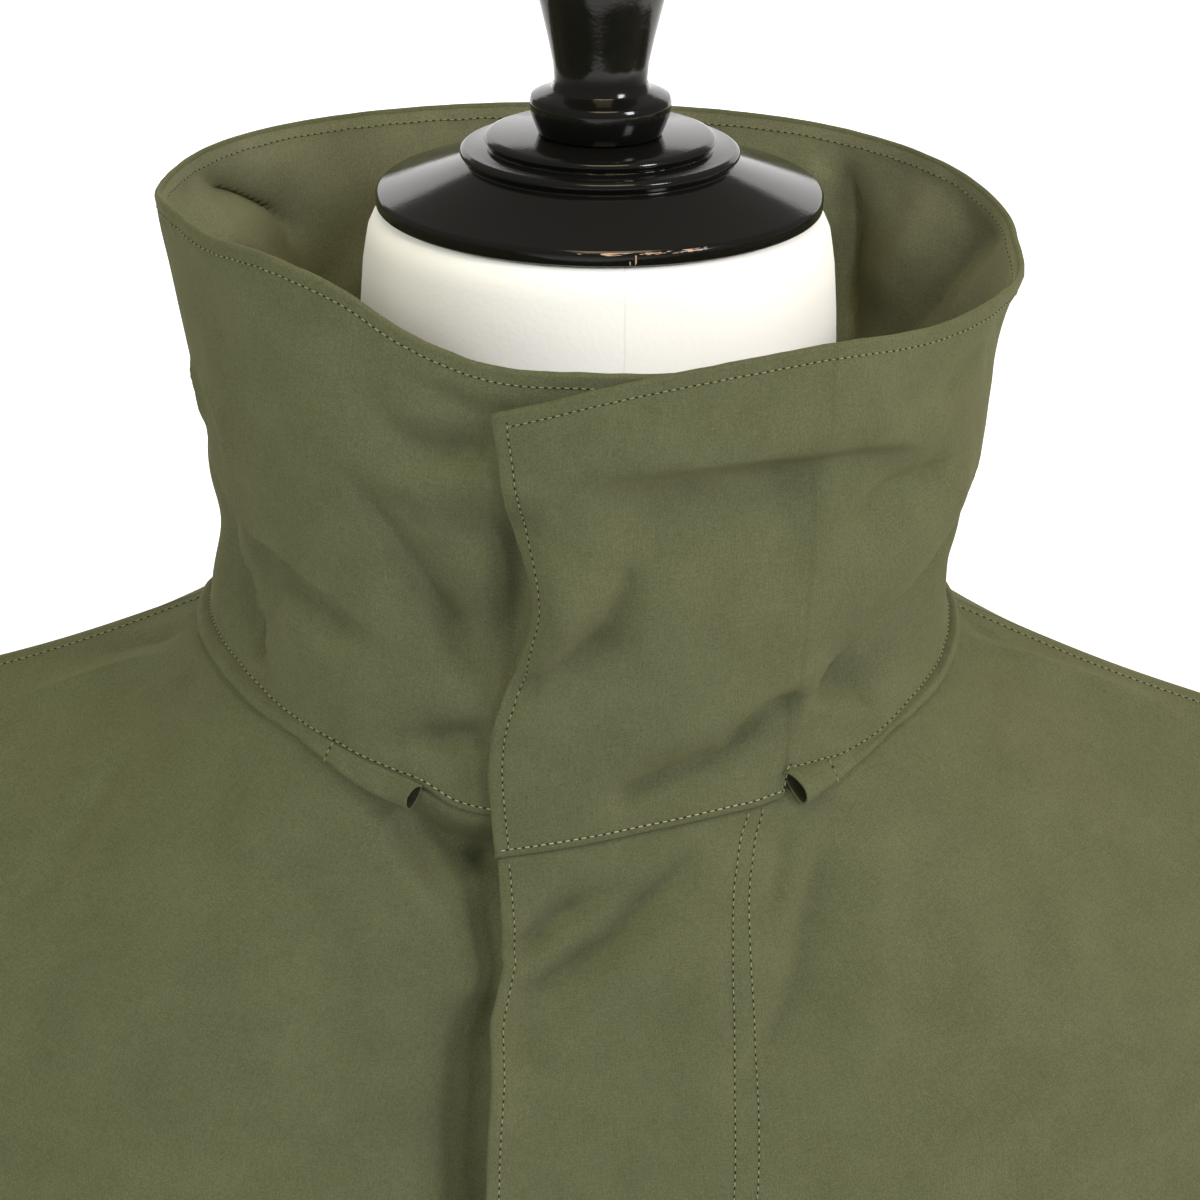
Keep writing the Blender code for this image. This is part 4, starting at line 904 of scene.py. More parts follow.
# ------------------------------------------------------------------ creases
COLLAR_CREASES: tuple[Crease, ...] = (
    # largest folds, as in the solid
    Crease(((2, 0.1), (14, 0.12), (26, 0.15), (38, 0.2)), -0.0018, 0.008, -0.2),
    Crease(((34, 0.33), (46, 0.43), (60, 0.53), (72, 0.6)), 0.0034, 0.01),
    Crease(((38, 0.57), (49, 0.62), (60, 0.66)), -0.0016, 0.008),
    Crease(((70, 0.4), (92, 0.62)), 0.0016, 0.011),
    Crease(((62, 0.22), (84, 0.36)), 0.0012, 0.009),
    Crease(((76, 0.18), (104, 0.2)), -0.003, 0.012),
    Crease(((66, 0.84), (92, 0.9)), -0.0036, 0.009),
    Crease(((98, 0.93), (112, 0.95), (128, 0.93)), 0.005, 0.018),
    Crease(((109, 0.98), (126, 0.52)), 0.0034, 0.008),
    Crease(((120, 0.98), (134, 0.55)), -0.0034, 0.008),
    Crease(((141, 0.96), (138, 0.35)), 0.005, 0.0085),
    Crease(((250, 0.95), (238, 0.86), (229, 0.78), (224, 0.62)), 0.004, 0.0075),
    Crease(((264, 0.84), (251, 0.8), (241, 0.72), (236, 0.6), (234, 0.46)), -0.0078, 0.009),
    Crease(((258, 0.47), (290, 0.5)), -0.0018, 0.011),
    Crease(((256, 0.2), (290, 0.22)), -0.003, 0.012),
    Crease(((304, 0.42), (316, 0.36), (328, 0.32)), -0.002, 0.012),
    Crease(((320, 0.58), (334, 0.48), (346, 0.3)), -0.002, 0.0085),
    Crease(((318, 0.74), (342, 0.54)), 0.0026, 0.012),
    # finer creases of the upper layer, each from the viewer's left to the right
    Crease(((-2, 0.822), (6.5, 0.806), (14.5, 0.79), (21.5, 0.78), (29, 0.776), (36, 0.762)),
           -0.006, 0.011, 0.0, 0.1, folded=True),
    Crease(((14, 0.79), (21.5, 0.782), (28.5, 0.776), (37, 0.764), (46, 0.742), (53, 0.715)),
           -0.0042, 0.0052, 0.0, 0.15, folded=True),
    Crease(((-6, 0.72), (-4.5, 0.76), (-1.5, 0.8), (1.5, 0.835)), -0.0014, 0.0034, 0.0, 0.1, 1.4),
    Crease(((-4, 0.86), (16, 0.83), (38, 0.81), (52, 0.76)), 0.001, 0.006),
    Crease(((3, 0.062), (6, 0.078), (9, 0.092), (12.5, 0.108), (18, 0.124), (22.5, 0.14),
            (26, 0.18)), -0.0042, 0.003, 0.0, 0.05, 1.5),
    Crease(((20, 0.13), (23, 0.152), (25, 0.18), (27, 0.205), (30, 0.215), (33, 0.205),
            (35.5, 0.19)), -0.0046, 0.0036, -0.3, 0.1, 1.5),
    Crease(((4, 0.18), (16, 0.2), (24, 0.24), (31, 0.27), (36, 0.245)), 0.0013, 0.0045),
    Crease(((35, 0.165), (36.2, 0.205), (38, 0.25), (40, 0.27), (45, 0.32), (51.5, 0.37),
            (60.5, 0.43), (70, 0.5), (78, 0.54)), -0.012, 0.008, 0.0, 0.15, folded=True),
    Crease(((40, 0.27), (41.5, 0.215), (43, 0.17)), -0.0036, 0.0045),
    Crease(((46, 0.2), (52, 0.25), (58, 0.31)), 0.0014, 0.0048),
    Crease(((4, 0.62), (4.2, 0.56), (2.6, 0.52), (1, 0.475)), -0.0022, 0.0034, 0.4, 0.1, 1.4),
    Crease(((2.6, 0.52), (1, 0.47), (-3, 0.44), (-6, 0.405), (-9.5, 0.37), (-11, 0.33)),
           -0.006, 0.0066, 0.35, 0.3, 1.3),
    Crease(((-6, 0.385), (-8.5, 0.355), (-10.5, 0.32)), -0.0016, 0.0024, 0.0, 0.2, 1.4),
    Crease(((-8, 0.47), (-3, 0.54), (-1, 0.62)), 0.0012, 0.006),
    Crease(((4, 0.42), (10, 0.5), (14, 0.6)), 0.0013, 0.0075),
    Crease(((36, 0.548), (42, 0.6), (47.5, 0.63), (55, 0.635), (66, 0.615)),
           -0.0028, 0.0034, -0.2, 0.1, 1.4),
    Crease(((34, 0.6), (46, 0.67), (58, 0.69)), 0.0012, 0.005),
    Crease(((52, 0.79), (60, 0.86), (70, 0.9)), -0.0026, 0.0034, -0.3),
    Crease(((48, 0.73), (56, 0.8), (62, 0.88)), 0.0016, 0.0036),
    Crease(((-12, 0.74), (-9, 0.6), (-8, 0.46), (-11, 0.26)), 0.0046, 0.007, 0.0, 0.0),
    Crease(((-8, 0.92), (4, 0.9), (16, 0.915)), 0.0006, 0.006),
    # finer creases of the lower layer
    Crease(((351, 0.76), (352, 0.58), (351, 0.44), (348, 0.2)), -0.0096, 0.0082, 0.0, 0.0),
    Crease(((345, 0.76), (344, 0.6), (343, 0.44), (342, 0.2)), -0.0062, 0.0135, 0.0, 0.1),
    Crease(((331, 0.8), (335.5, 0.765), (339.5, 0.77), (343, 0.79), (347, 0.81), (351, 0.83)),
           -0.0054, 0.0054, 0.0, 0.4, 1.5),
    Crease(((336, 0.91), (343, 0.9), (346.5, 0.89), (351, 0.89)), -0.0026, 0.0035, 0.0, 0.3, 1.5),
    Crease(((325, 0.62), (329, 0.6), (331.5, 0.57), (333.5, 0.53), (335.5, 0.48), (338, 0.42),
            (340.5, 0.37), (344, 0.31), (347, 0.27)), -0.0054, 0.0046, 0.3, 0.2, 1.4),
    Crease(((333.5, 0.64), (336, 0.61), (338, 0.56)), -0.0018, 0.003, 0.0, 0.2, 1.5),
    Crease(((328, 0.53), (334, 0.48), (339, 0.4)), 0.0012, 0.005),
    Crease(((284, 0.48), (291, 0.42), (298, 0.385), (304.5, 0.355), (310, 0.345), (316, 0.325)),
           -0.0078, 0.0085, 0.0, 0.1, folded=True),
    Crease(((304.5, 0.355), (310, 0.345), (315.5, 0.325), (321.5, 0.315), (325, 0.31),
            (330, 0.295)), -0.0046, 0.0042, 0.0, 0.1, folded=True),
    Crease(((283, 0.31), (288, 0.255), (291.5, 0.225), (297.5, 0.2), (299.5, 0.165),
            (303.5, 0.12), (306, 0.08)), -0.006, 0.005, 0.0, 0.15, folded=True),
    Crease(((286, 0.33), (293, 0.28), (299, 0.245), (303, 0.2)), 0.0018, 0.004),
    Crease(((297.3, 0.19), (297.8, 0.13), (296.3, 0.05)), 0.0016, 0.0022, 0.0, 0.2, 1.6),
    Crease(((299.8, 0.16), (300.6, 0.12), (301.2, 0.07)), -0.0028, 0.0028),
    Crease(((289, 0.66), (297, 0.62), (299.5, 0.55), (298, 0.47)), 0.0012, 0.0024, 0.0, 0.1, 1.5),
    Crease(((284, 0.66), (288, 0.59), (287, 0.5)), 0.0016, 0.0026, 0.0, 0.1, 1.5),
    Crease(((300, 0.27), (312, 0.25), (324, 0.2)), 0.0014, 0.006),
    Crease(((334, 0.075), (339.5, 0.13), (344, 0.16), (349, 0.15)), -0.0052, 0.0044, 0.0, 0.3, 1.5),
    Crease(((300, 0.9), (314, 0.84), (328, 0.82)), 0.0012, 0.006),
    # the inside of the back
    Crease(((250, 0.96), (243, 0.9), (236, 0.85), (229, 0.77), (226, 0.66)), 0.0028, 0.003, 0.3),
    Crease(((141, 0.95), (139, 0.71), (137, 0.45)), 0.0034, 0.003, 0.5),
    Crease(((147, 0.92), (146, 0.8), (145, 0.66)), -0.0026, 0.0038),
    Crease(((108, 0.99), (116, 0.81), (125, 0.56), (130, 0.4)), 0.0026, 0.0034, 0.3),
    Crease(((101, 0.97), (108, 0.82), (116, 0.62)), -0.002, 0.004),
    # the hidden back
    Crease(((160, 0.2), (176, 0.28), (194, 0.24)), -0.002, 0.006),
    Crease(((200, 0.72), (214, 0.6), (222, 0.46)), -0.002, 0.0055),
    Crease(((150, 0.55), (162, 0.48), (178, 0.5)), 0.0018, 0.007),
)

FRONT_LEFT_CREASES: tuple[Crease, ...] = (
    # near the collar, each from the viewer's left to the right
    Crease(((-11.8, 0.112), (-8.9, 0.088), (-5.7, 0.078), (-2.6, 0.07), (2.4, 0.057),
            (6.1, 0.041), (8.6, 0.033), (13.6, 0.021), (17, 0.01)),
           -0.0052, 0.0042, -0.2, 0.15, 1.5),
    Crease(((-3, 0.09), (5, 0.066), (12, 0.044), (24, 0.016)), 0.0014, 0.007),
    Crease(((-12, 0.062), (-7, 0.048), (-3, 0.038), (3, 0.028)), -0.005, 0.004, 0.2, 0.4, 1.4),
    Crease(((-11, 0.122), (-5, 0.103), (0.5, 0.085)), -0.002, 0.0042, 0.2, 0.3, 1.5),
    Crease(((13, 0.14), (15.5, 0.12), (18.5, 0.103), (22, 0.083), (25.5, 0.062), (29, 0.045),
            (32.5, 0.03), (37, 0.014)), -0.0038, 0.0046, -0.3, 0.1, 1.5),
    Crease(((24, 0.13), (29, 0.095), (37, 0.056), (44, 0.02)), 0.0018, 0.0075),
    Crease(((21, 0.06), (25, 0.04), (28.5, 0.022), (32.5, 0.005)), -0.0022, 0.004, 0.2, 0.2, 1.4),
    Crease(((20.5, 0.03), (16, 0.07), (13.5, 0.12), (12, 0.17)), -0.0009, 0.0024),
    Crease(((88, 0.01), (92, 0.037), (94.5, 0.062), (94.5, 0.088)), 0.0034, 0.0034, 0.0, 0.2, 1.5),
    Crease(((94, 0.003), (93.5, 0.01), (92.5, 0.02)), -0.002, 0.0024),
    Crease(((-12, 0.006), (-12, 0.05), (-12, 0.1), (-12, 0.19)), 0.002, 0.005, 0.0, 0.0),
    Crease(((-12, 0.06), (-12, 0.12), (-12, 0.18), (-12, 0.26), (-12, 0.36)), 0.0026, 0.006, 0.0,
           0.0),
    Crease(((60, 0.02), (52, 0.06), (44, 0.12), (38, 0.18)), 0.0012, 0.016),
    Crease(((82, 0.03), (76, 0.08), (70, 0.15)), -0.001, 0.015),
    Crease(((88, 0.3), (76, 0.27), (62, 0.25)), -0.003, 0.012, 0.3),
    Crease(((90, 0.38), (78, 0.35), (60, 0.34)), 0.0026, 0.014),
    Crease(((92, 0.45), (80, 0.43), (66, 0.44), (52, 0.47)), -0.0034, 0.013, 0.3),
    Crease(((84, 0.52), (64, 0.5), (44, 0.52)), 0.002, 0.016),
    Crease(((10, 0.3), (26, 0.33), (44, 0.32)), -0.0016, 0.015),
    Crease(((70, 0.62), (50, 0.66), (24, 0.65)), -0.0022, 0.018),
    Crease(((18, 0.78), (40, 0.75), (66, 0.79)), 0.0018, 0.02),
)
FRONT_RIGHT_CREASES: tuple[Crease, ...] = (
    # near the collar, each from the viewer's left to the right
    Crease(((26.5, 0.01), (20, 0.018), (15.5, 0.025), (11, 0.032)), -0.0064, 0.0056, 0.0, 0.3, 1.5),
    Crease(((30, 0.01), (26, 0.02), (22, 0.028), (18.5, 0.035), (15, 0.046)),
           -0.0026, 0.0032, 0.0, 0.2, 1.4),
    Crease(((30, 0.028), (22, 0.042), (17, 0.052), (14, 0.075), (12, 0.1)), 0.0015, 0.0045),
    Crease(((14, 0.03), (11, 0.065), (9.5, 0.09), (9.2, 0.115)), -0.0036, 0.0036, 0.0, 0.3),
    Crease(((10.5, 0.085), (10, 0.11), (9.4, 0.15), (8.5, 0.21), (8, 0.3), (8, 0.4)),
           -0.0082, 0.0105, 0.0, 0.05),
    Crease(((12, 0.0), (11, 0.015), (10, 0.035)), -0.01, 0.013, 0.0, 0.6),
    Crease(((70.5, 0.043), (68, 0.068), (64.5, 0.092), (61, 0.118)), -0.0018, 0.005),
    Crease(((80, 0.013), (86.5, 0.037), (89.5, 0.062), (90.5, 0.08)), 0.0026, 0.0034, 0.0, 0.2, 1.5),
    Crease(((86, 0.01), (91.5, 0.03), (94.5, 0.05)), -0.0022, 0.0026, 0.0, 0.2, 1.5),
    Crease(((44, 0.03), (34, 0.06), (24, 0.11), (18, 0.16)), -0.002, 0.011),
    Crease(((66, 0.02), (56, 0.07), (46, 0.14)), 0.001, 0.016),
    Crease(((86, 0.04), (78, 0.09), (74, 0.15)), -0.001, 0.015),
    Crease(((88, 0.32), (74, 0.29), (58, 0.28)), -0.0028, 0.012, 0.3),
    Crease(((92, 0.46), (78, 0.44), (62, 0.46), (46, 0.5)), -0.0034, 0.013, 0.3),
    Crease(((90, 0.4), (74, 0.37), (56, 0.37)), 0.0024, 0.014),
    Crease(((86, 0.54), (66, 0.53), (46, 0.56)), 0.0018, 0.016),
    Crease(((24, 0.28), (44, 0.3), (60, 0.28)), -0.0014, 0.016),
    Crease(((66, 0.68), (44, 0.7), (22, 0.68)), -0.0022, 0.018),
    Crease(((20, 0.82), (44, 0.8), (70, 0.83)), 0.0018, 0.02),
)
BACK_CREASES: tuple[Crease, ...] = (
    Crease(((130, 0.02), (150, 0.034), (180, 0.04), (210, 0.033), (230, 0.02)), -0.0012, 0.008),
    Crease(((112, 0.24), (124, 0.25), (140, 0.3)), -0.0028, 0.012, 0.3),
    Crease(((110, 0.36), (124, 0.34), (142, 0.36)), 0.0024, 0.014),
    Crease(((108, 0.45), (122, 0.43), (140, 0.45), (154, 0.5)), -0.0032, 0.013, 0.3),
    Crease(((248, 0.26), (238, 0.27), (222, 0.31)), -0.0026, 0.012, 0.3),
    Crease(((250, 0.38), (236, 0.35), (218, 0.37)), 0.0022, 0.014),
    Crease(((252, 0.46), (238, 0.44), (220, 0.46), (204, 0.51)), -0.0032, 0.013, 0.3),
    Crease(((150, 0.16), (166, 0.22), (176, 0.3)), -0.0014, 0.017),
    Crease(((212, 0.15), (196, 0.21), (186, 0.3)), -0.0014, 0.017),
    Crease(((136, 0.64), (160, 0.6), (186, 0.63), (210, 0.61)), -0.0024, 0.018),
    Crease(((150, 0.72), (176, 0.76), (206, 0.73)), 0.002, 0.02),
)
SLEEVE_CREASES: tuple[Crease, ...] = (
    # degrees round the sleeve (0 outside and top, 90 front, 180 inside), share down
    Crease(((60, 0.05), (96, 0.12), (138, 0.19)), -0.0026, 0.01, 0.2),
    Crease(((50, 0.11), (90, 0.18), (140, 0.25)), 0.0022, 0.011),
    Crease(((300, 0.05), (262, 0.12), (220, 0.19)), -0.0026, 0.01, 0.2),
    Crease(((306, 0.12), (268, 0.19), (222, 0.25)), 0.002, 0.011),
    Crease(((150, 0.3), (110, 0.34), (70, 0.33), (36, 0.3)), -0.003, 0.009, 0.3),
    Crease(((170, 0.42), (130, 0.44), (96, 0.43), (60, 0.4)), -0.0034, 0.008, 0.3),
    Crease(((160, 0.49), (120, 0.505), (84, 0.5), (52, 0.47)), -0.0034, 0.008, 0.3),
    Crease(((156, 0.455), (116, 0.47), (80, 0.465)), 0.003, 0.008),
    Crease(((150, 0.56), (112, 0.565), (78, 0.555)), -0.0028, 0.0085, 0.2),
    Crease(((196, 0.53), (226, 0.5), (262, 0.48)), -0.0018, 0.01),
    Crease(((300, 0.4), (330, 0.43), (356, 0.47)), -0.0014, 0.013),
    Crease(((120, 0.68), (84, 0.7), (46, 0.68)), -0.002, 0.011),
    Crease(((220, 0.72), (258, 0.75), (292, 0.73)), -0.0018, 0.012),
    Crease(((40, 0.82), (84, 0.85), (124, 0.84)), -0.0018, 0.01),
    Crease(((230, 0.88), (270, 0.9), (310, 0.88)), -0.0014, 0.01),
)
CHANNEL_CREASES: tuple[Crease, ...] = (
    Crease(((40, 331.6), (90, 331.8), (140, 331.6)), -0.0007, 0.0009),
    Crease(((60, 328.5), (90, 329), (130, 327)), 0.0006, 0.0014),
    Crease(((60, 326.0), (90, 325.0), (130, 325.5)), -0.0006, 0.0012),
    Crease(((40, 320.6), (90, 320.6), (140, 320.6)), -0.0006, 0.001),
    Crease(((50, 316), (90, 314), (130, 315)), -0.0005, 0.0016),
    Crease(((40, 35.4), (90, 35.6), (140, 35.4)), 0.0007, 0.0008),
    Crease(((40, 37.2), (90, 37.4), (140, 37.2)), -0.0006, 0.0008),
    Crease(((40, 40.6), (90, 40.8), (140, 40.6)), -0.0005, 0.0009),
    Crease(((50, 44), (90, 45), (130, 44)), -0.0005, 0.0014),
)


# ------------------------------------------------------------------ finishes
@dataclass
class NodeMaker:
    """Adds nodes to a tree, with their inputs linked or set."""

    tree: bpy.types.NodeTree

    def feed(self, node: bpy.types.Node, inputs: dict) -> None:
        """Link or set a node's inputs.

        Args:
            node: The node.
            inputs: A socket to link from, or a value, by each input's name or place.
        """
        for key, value in inputs.items():
            if isinstance(value, Socket):
                self.tree.links.new(value, node.inputs[key])
            else:
                node.inputs[key].default_value = value

    def add(self, kind: str, inputs: Optional[dict] = None, **settings: object) -> bpy.types.Node:
        """Add a node. Settings are its own properties, and inputs are as feed() takes them."""
        node = self.tree.nodes.new(kind)
        for key, value in settings.items():
            setattr(node, key, value)
        self.feed(node, inputs or {})
        return node

    def math(self, operation: str, *values: object) -> Socket:
        """Math node on sockets or numbers."""
        inputs = dict(enumerate(values))
        return self.add("ShaderNodeMath", inputs, operation=operation).outputs[0]


class FinishTree(NodeMaker):
    """The shader nodes of one material."""

    def __init__(self, name: str) -> None:
        """Args: name: The material's name."""
        self.material = bpy.data.materials.new(name)
        self.material.use_nodes = True
        super().__init__(self.material.node_tree)
        self.shader = self.tree.nodes["Principled BSDF"]

    def place(self, output: str, scale: Triple = (1.0, 1.0, 1.0)) -> Socket:
        """Scaled texture coordinates."""
        coordinate = self.add("ShaderNodeTexCoord").outputs[output]
        return self.add("ShaderNodeMapping", {"Vector": coordinate, "Scale": scale}).outputs["Vector"]

    def noise(self, vector: Socket, scale: float, detail: float) -> Socket:
        """Noise value."""
        inputs = {"Vector": vector, "Scale": scale, "Detail": detail}
        return self.add("ShaderNodeTexNoise", inputs).outputs["Fac"]

    def mix(self, factor: Socket, first: object, second: object) -> Socket:
        """Mix two colours, each a socket or three numbers."""
        node = self.add("ShaderNodeMix", {"Factor": factor}, data_type="RGBA")
        colours = [i for i, socket in enumerate(node.inputs) if socket.type == "RGBA"]
        for place, value in zip(colours, (first, second)):
            self.feed(node, {place: (*value, 1.0) if isinstance(value, tuple) else value})
        return next(socket for socket in node.outputs if socket.type == "RGBA")

    def bump(self, height: Socket, distance: float, strength: float) -> None:
        """Feed a height into the shader's normal."""
        inputs = {"Height": height, "Distance": distance, "Strength": strength}
        self.feed(self.shader, {"Normal": self.add("ShaderNodeBump", inputs).outputs["Normal"]})

    def finish(self, colour: Socket, **values: object) -> Material:
        """Feed the shader its colour and other values; underscores stand for spaces.

        Args:
            colour: The base colour.
            values: The shader's other inputs.

        Returns:
            The material.
        """
        own = {key.replace("_", " "): value for key, value in values.items()}
        self.feed(self.shader, {"Base Color": colour, **own})
        return self.material


@dataclass(frozen=True)
class CottonFinish:
    """Tightly woven matt cotton, slightly uneven in its dye.

    Attributes:
        name: Material name.
        shade: The darker of its two dyed tones.
        light: The lighter one.
        thread: Distance between threads, in metres.
    """

    name: str = "olive_cotton"
    shade: Triple = (0.077, 0.082, 0.0405)
    light: Triple = (0.116, 0.124, 0.067)
    thread: float = 0.00042

    def build(self) -> Material:
        """Returns the material."""
        nodes = FinishTree(self.name)
        cloth, room = nodes.place("UV"), nodes.place("Object")
        bands = {"Vector": cloth, "Scale": 2 * pi / (20 * self.thread), "Distortion": 1.2,
                 "Detail": 1.0, "Detail Scale": 0.4}
        weave = nodes.math("MULTIPLY", *(
            nodes.add("ShaderNodeTexWave", bands, wave_type="BANDS", bands_direction=way).outputs["Fac"]
            for way in ("X", "Y")
        ))
        slubs = nodes.math("ADD", *(
            nodes.noise(nodes.place("UV", scale), 1.0, 2.0)
            for scale in ((3400.0, 170.0, 1.0), (170.0, 3400.0, 1.0))
        ))
        mottle = nodes.noise(room, 60.0, 4.0)
        fleck = nodes.noise(room, 2300.0, 2.0)
        tone = nodes.math("MULTIPLY", nodes.math("SUBTRACT", slubs, 1.0), 0.8)
        for texture, share in ((fleck, 2.4), (mottle, 0.9)):
            own = nodes.math("MULTIPLY", nodes.math("SUBTRACT", texture, 0.5), share)
            tone = nodes.math("ADD", tone, own)
        tone = nodes.math("ADD", tone, 0.5)
        height = nodes.math("ADD", nodes.math("MULTIPLY", weave, 0.6), slubs)
        height = nodes.math("ADD", height, nodes.math("MULTIPLY", fleck, 0.8))
        nodes.bump(height, 0.00014, 0.6)
        return nodes.finish(
            nodes.mix(tone, self.shade, self.light), Roughness=0.84, Sheen_Weight=0.1,
            Sheen_Roughness=0.45, Specular_IOR_Level=0.16, Sheen_Tint=(0.55, 0.42, 0.14, 1.0),
        )


@dataclass(frozen=True)
class FeltFinish:
    """Napped cream felt over a smooth form, with one faint seam down the front."""

    name: str = "cream_felt"
    light: Triple = (0.945, 0.94, 0.91)
    shade: Triple = (0.9, 0.885, 0.84)
    seam: Triple = (0.42, 0.38, 0.29)
    seam_x: float = 0.0062
    seam_half_width: float = 0.00022

    def build(self) -> Material:
        """Returns the material."""
        nodes = FinishTree(self.name)
        room = nodes.place("Object")
        nap = nodes.noise(room, 700.0, 4.0)
        cloud = nodes.math("MULTIPLY", nodes.noise(room, 38.0, 5.0), 0.6)
        tone = nodes.math("ADD", cloud, nodes.math("MULTIPLY", nap, 0.4))
        x, y, _ = nodes.add("ShaderNodeSeparateXYZ", {0: room}).outputs
        wander = nodes.math("MULTIPLY", nodes.noise(room, 90.0, 2.0), 0.0012)
        from_seam = nodes.math("SUBTRACT", nodes.math("SUBTRACT", x, self.seam_x), wander)
        line = nodes.math("LESS_THAN", nodes.math("ABSOLUTE", from_seam), self.seam_half_width)
        line = nodes.math("MULTIPLY", line, nodes.math("LESS_THAN", y, -0.03))
        colour = nodes.mix(
            nodes.math("MULTIPLY", line, 0.16), nodes.mix(tone, self.shade, self.light), self.seam
        )
        nodes.bump(nap, 0.0003, 0.25)
        return nodes.finish(
            colour, Roughness=0.95, Sheen_Weight=0.35, Sheen_Roughness=0.6, Specular_IOR_Level=0.2
        )


@dataclass(frozen=True)
class LacquerFinish:
    """Gloss black lacquer on turned wood, rubbed through to the wood on the rim's front edge."""

    name: str = "black_lacquer"
    black: Triple = (0.0045, 0.0046, 0.004)
    wood: Triple = (0.5, 0.34, 0.22)

    def build(self) -> Material:
        """Returns the material."""
        nodes = FinishTree(self.name)
        room = nodes.place("Object")
        x, y, z = nodes.add("ShaderNodeSeparateXYZ", {0: room}).outputs
        # centre and half width across, centre below the rim and half height, noise, threshold
        patches = (
            (0.011, 0.0165, 0.0004, 0.00034, (240.0, 900.0, 2600.0), 5.0, 0.54),
            (0.009, 0.006, 0.002, 0.0013, (1500.0, 900.0, 160.0), 3.0, 0.68),
        )
        rubbed = []
        for middle, half_width, down, half_height, scale, detail, threshold in patches:
            chips = nodes.noise(nodes.place("Object", scale), 1.0, detail)
            chips = nodes.math("GREATER_THAN", chips, threshold)
            across = nodes.math("COMPARE", x, middle, half_width)
            band = nodes.math("COMPARE", z, RIM_HEIGHT - down, half_height)
            rubbed.append(nodes.math("MULTIPLY", nodes.math("MULTIPLY", band, across), chips))
        front = nodes.math("LESS_THAN", y, -0.04)
        mask = nodes.math("MULTIPLY", nodes.math("MAXIMUM", *rubbed), front)
        haze = nodes.math("MULTIPLY", nodes.noise(room, 260.0, 6.0), 0.12)
        rough = nodes.math("ADD", haze, 0.06)
        rough = nodes.math("ADD", rough, nodes.math("MULTIPLY", mask, 0.5))
        grain = nodes.noise(nodes.place("Object", (900.0, 900.0, 900.0)), 1.0, 4.0)
        nodes.bump(grain, 0.00005, 0.5)
        return nodes.finish(nodes.mix(mask, self.black, self.wood), Roughness=rough, Coat_Weight=0.0)


@dataclass(frozen=True)
class EnamelFinish:
    """Satin black enamel on steel, with a fine orange-peel surface."""

    name: str = "black_steel"
    dark: Triple = (0.022, 0.022, 0.023)
    light: Triple = (0.036, 0.036, 0.038)

    def build(self) -> Material:
        """Returns the material."""
        nodes = FinishTree(self.name)
        room = nodes.place("Object")
        cloud = nodes.noise(room, 30.0, 5.0)
        rough = nodes.math("ADD", nodes.math("MULTIPLY", cloud, 0.2), 0.28)
        nodes.bump(nodes.noise(room, 900.0, 2.0), 0.0001, 0.35)
        return nodes.finish(nodes.mix(cloud, self.dark, self.light), Roughness=rough)


@dataclass(frozen=True)
class ThreadFinish:
    """Sewing thread, light tan-olive with a slight lustre, or the near-black painted shade where the
    thread sinks into a needle hole.
    """

    name: str
    dark: Triple
    light: Triple
    roughness: float = 0.6

    def build(self) -> Material:
        """Returns the material."""
        nodes = FinishTree(self.name)
        tone = nodes.noise(nodes.place("Object"), 1400.0, 2.0)
        return nodes.finish(
            nodes.mix(tone, self.dark, self.light), Roughness=self.roughness, Specular_IOR_Level=0.3
        )


# ------------------------------------------------------------------ stitching
@dataclass(frozen=True)
class StitchSize:
    """Sizes of a row of lockstitches, in metres."""

    pitch: float = 0.0021
    length: float = 0.0015
    radius: float = 0.00021
    hole: float = 0.00085


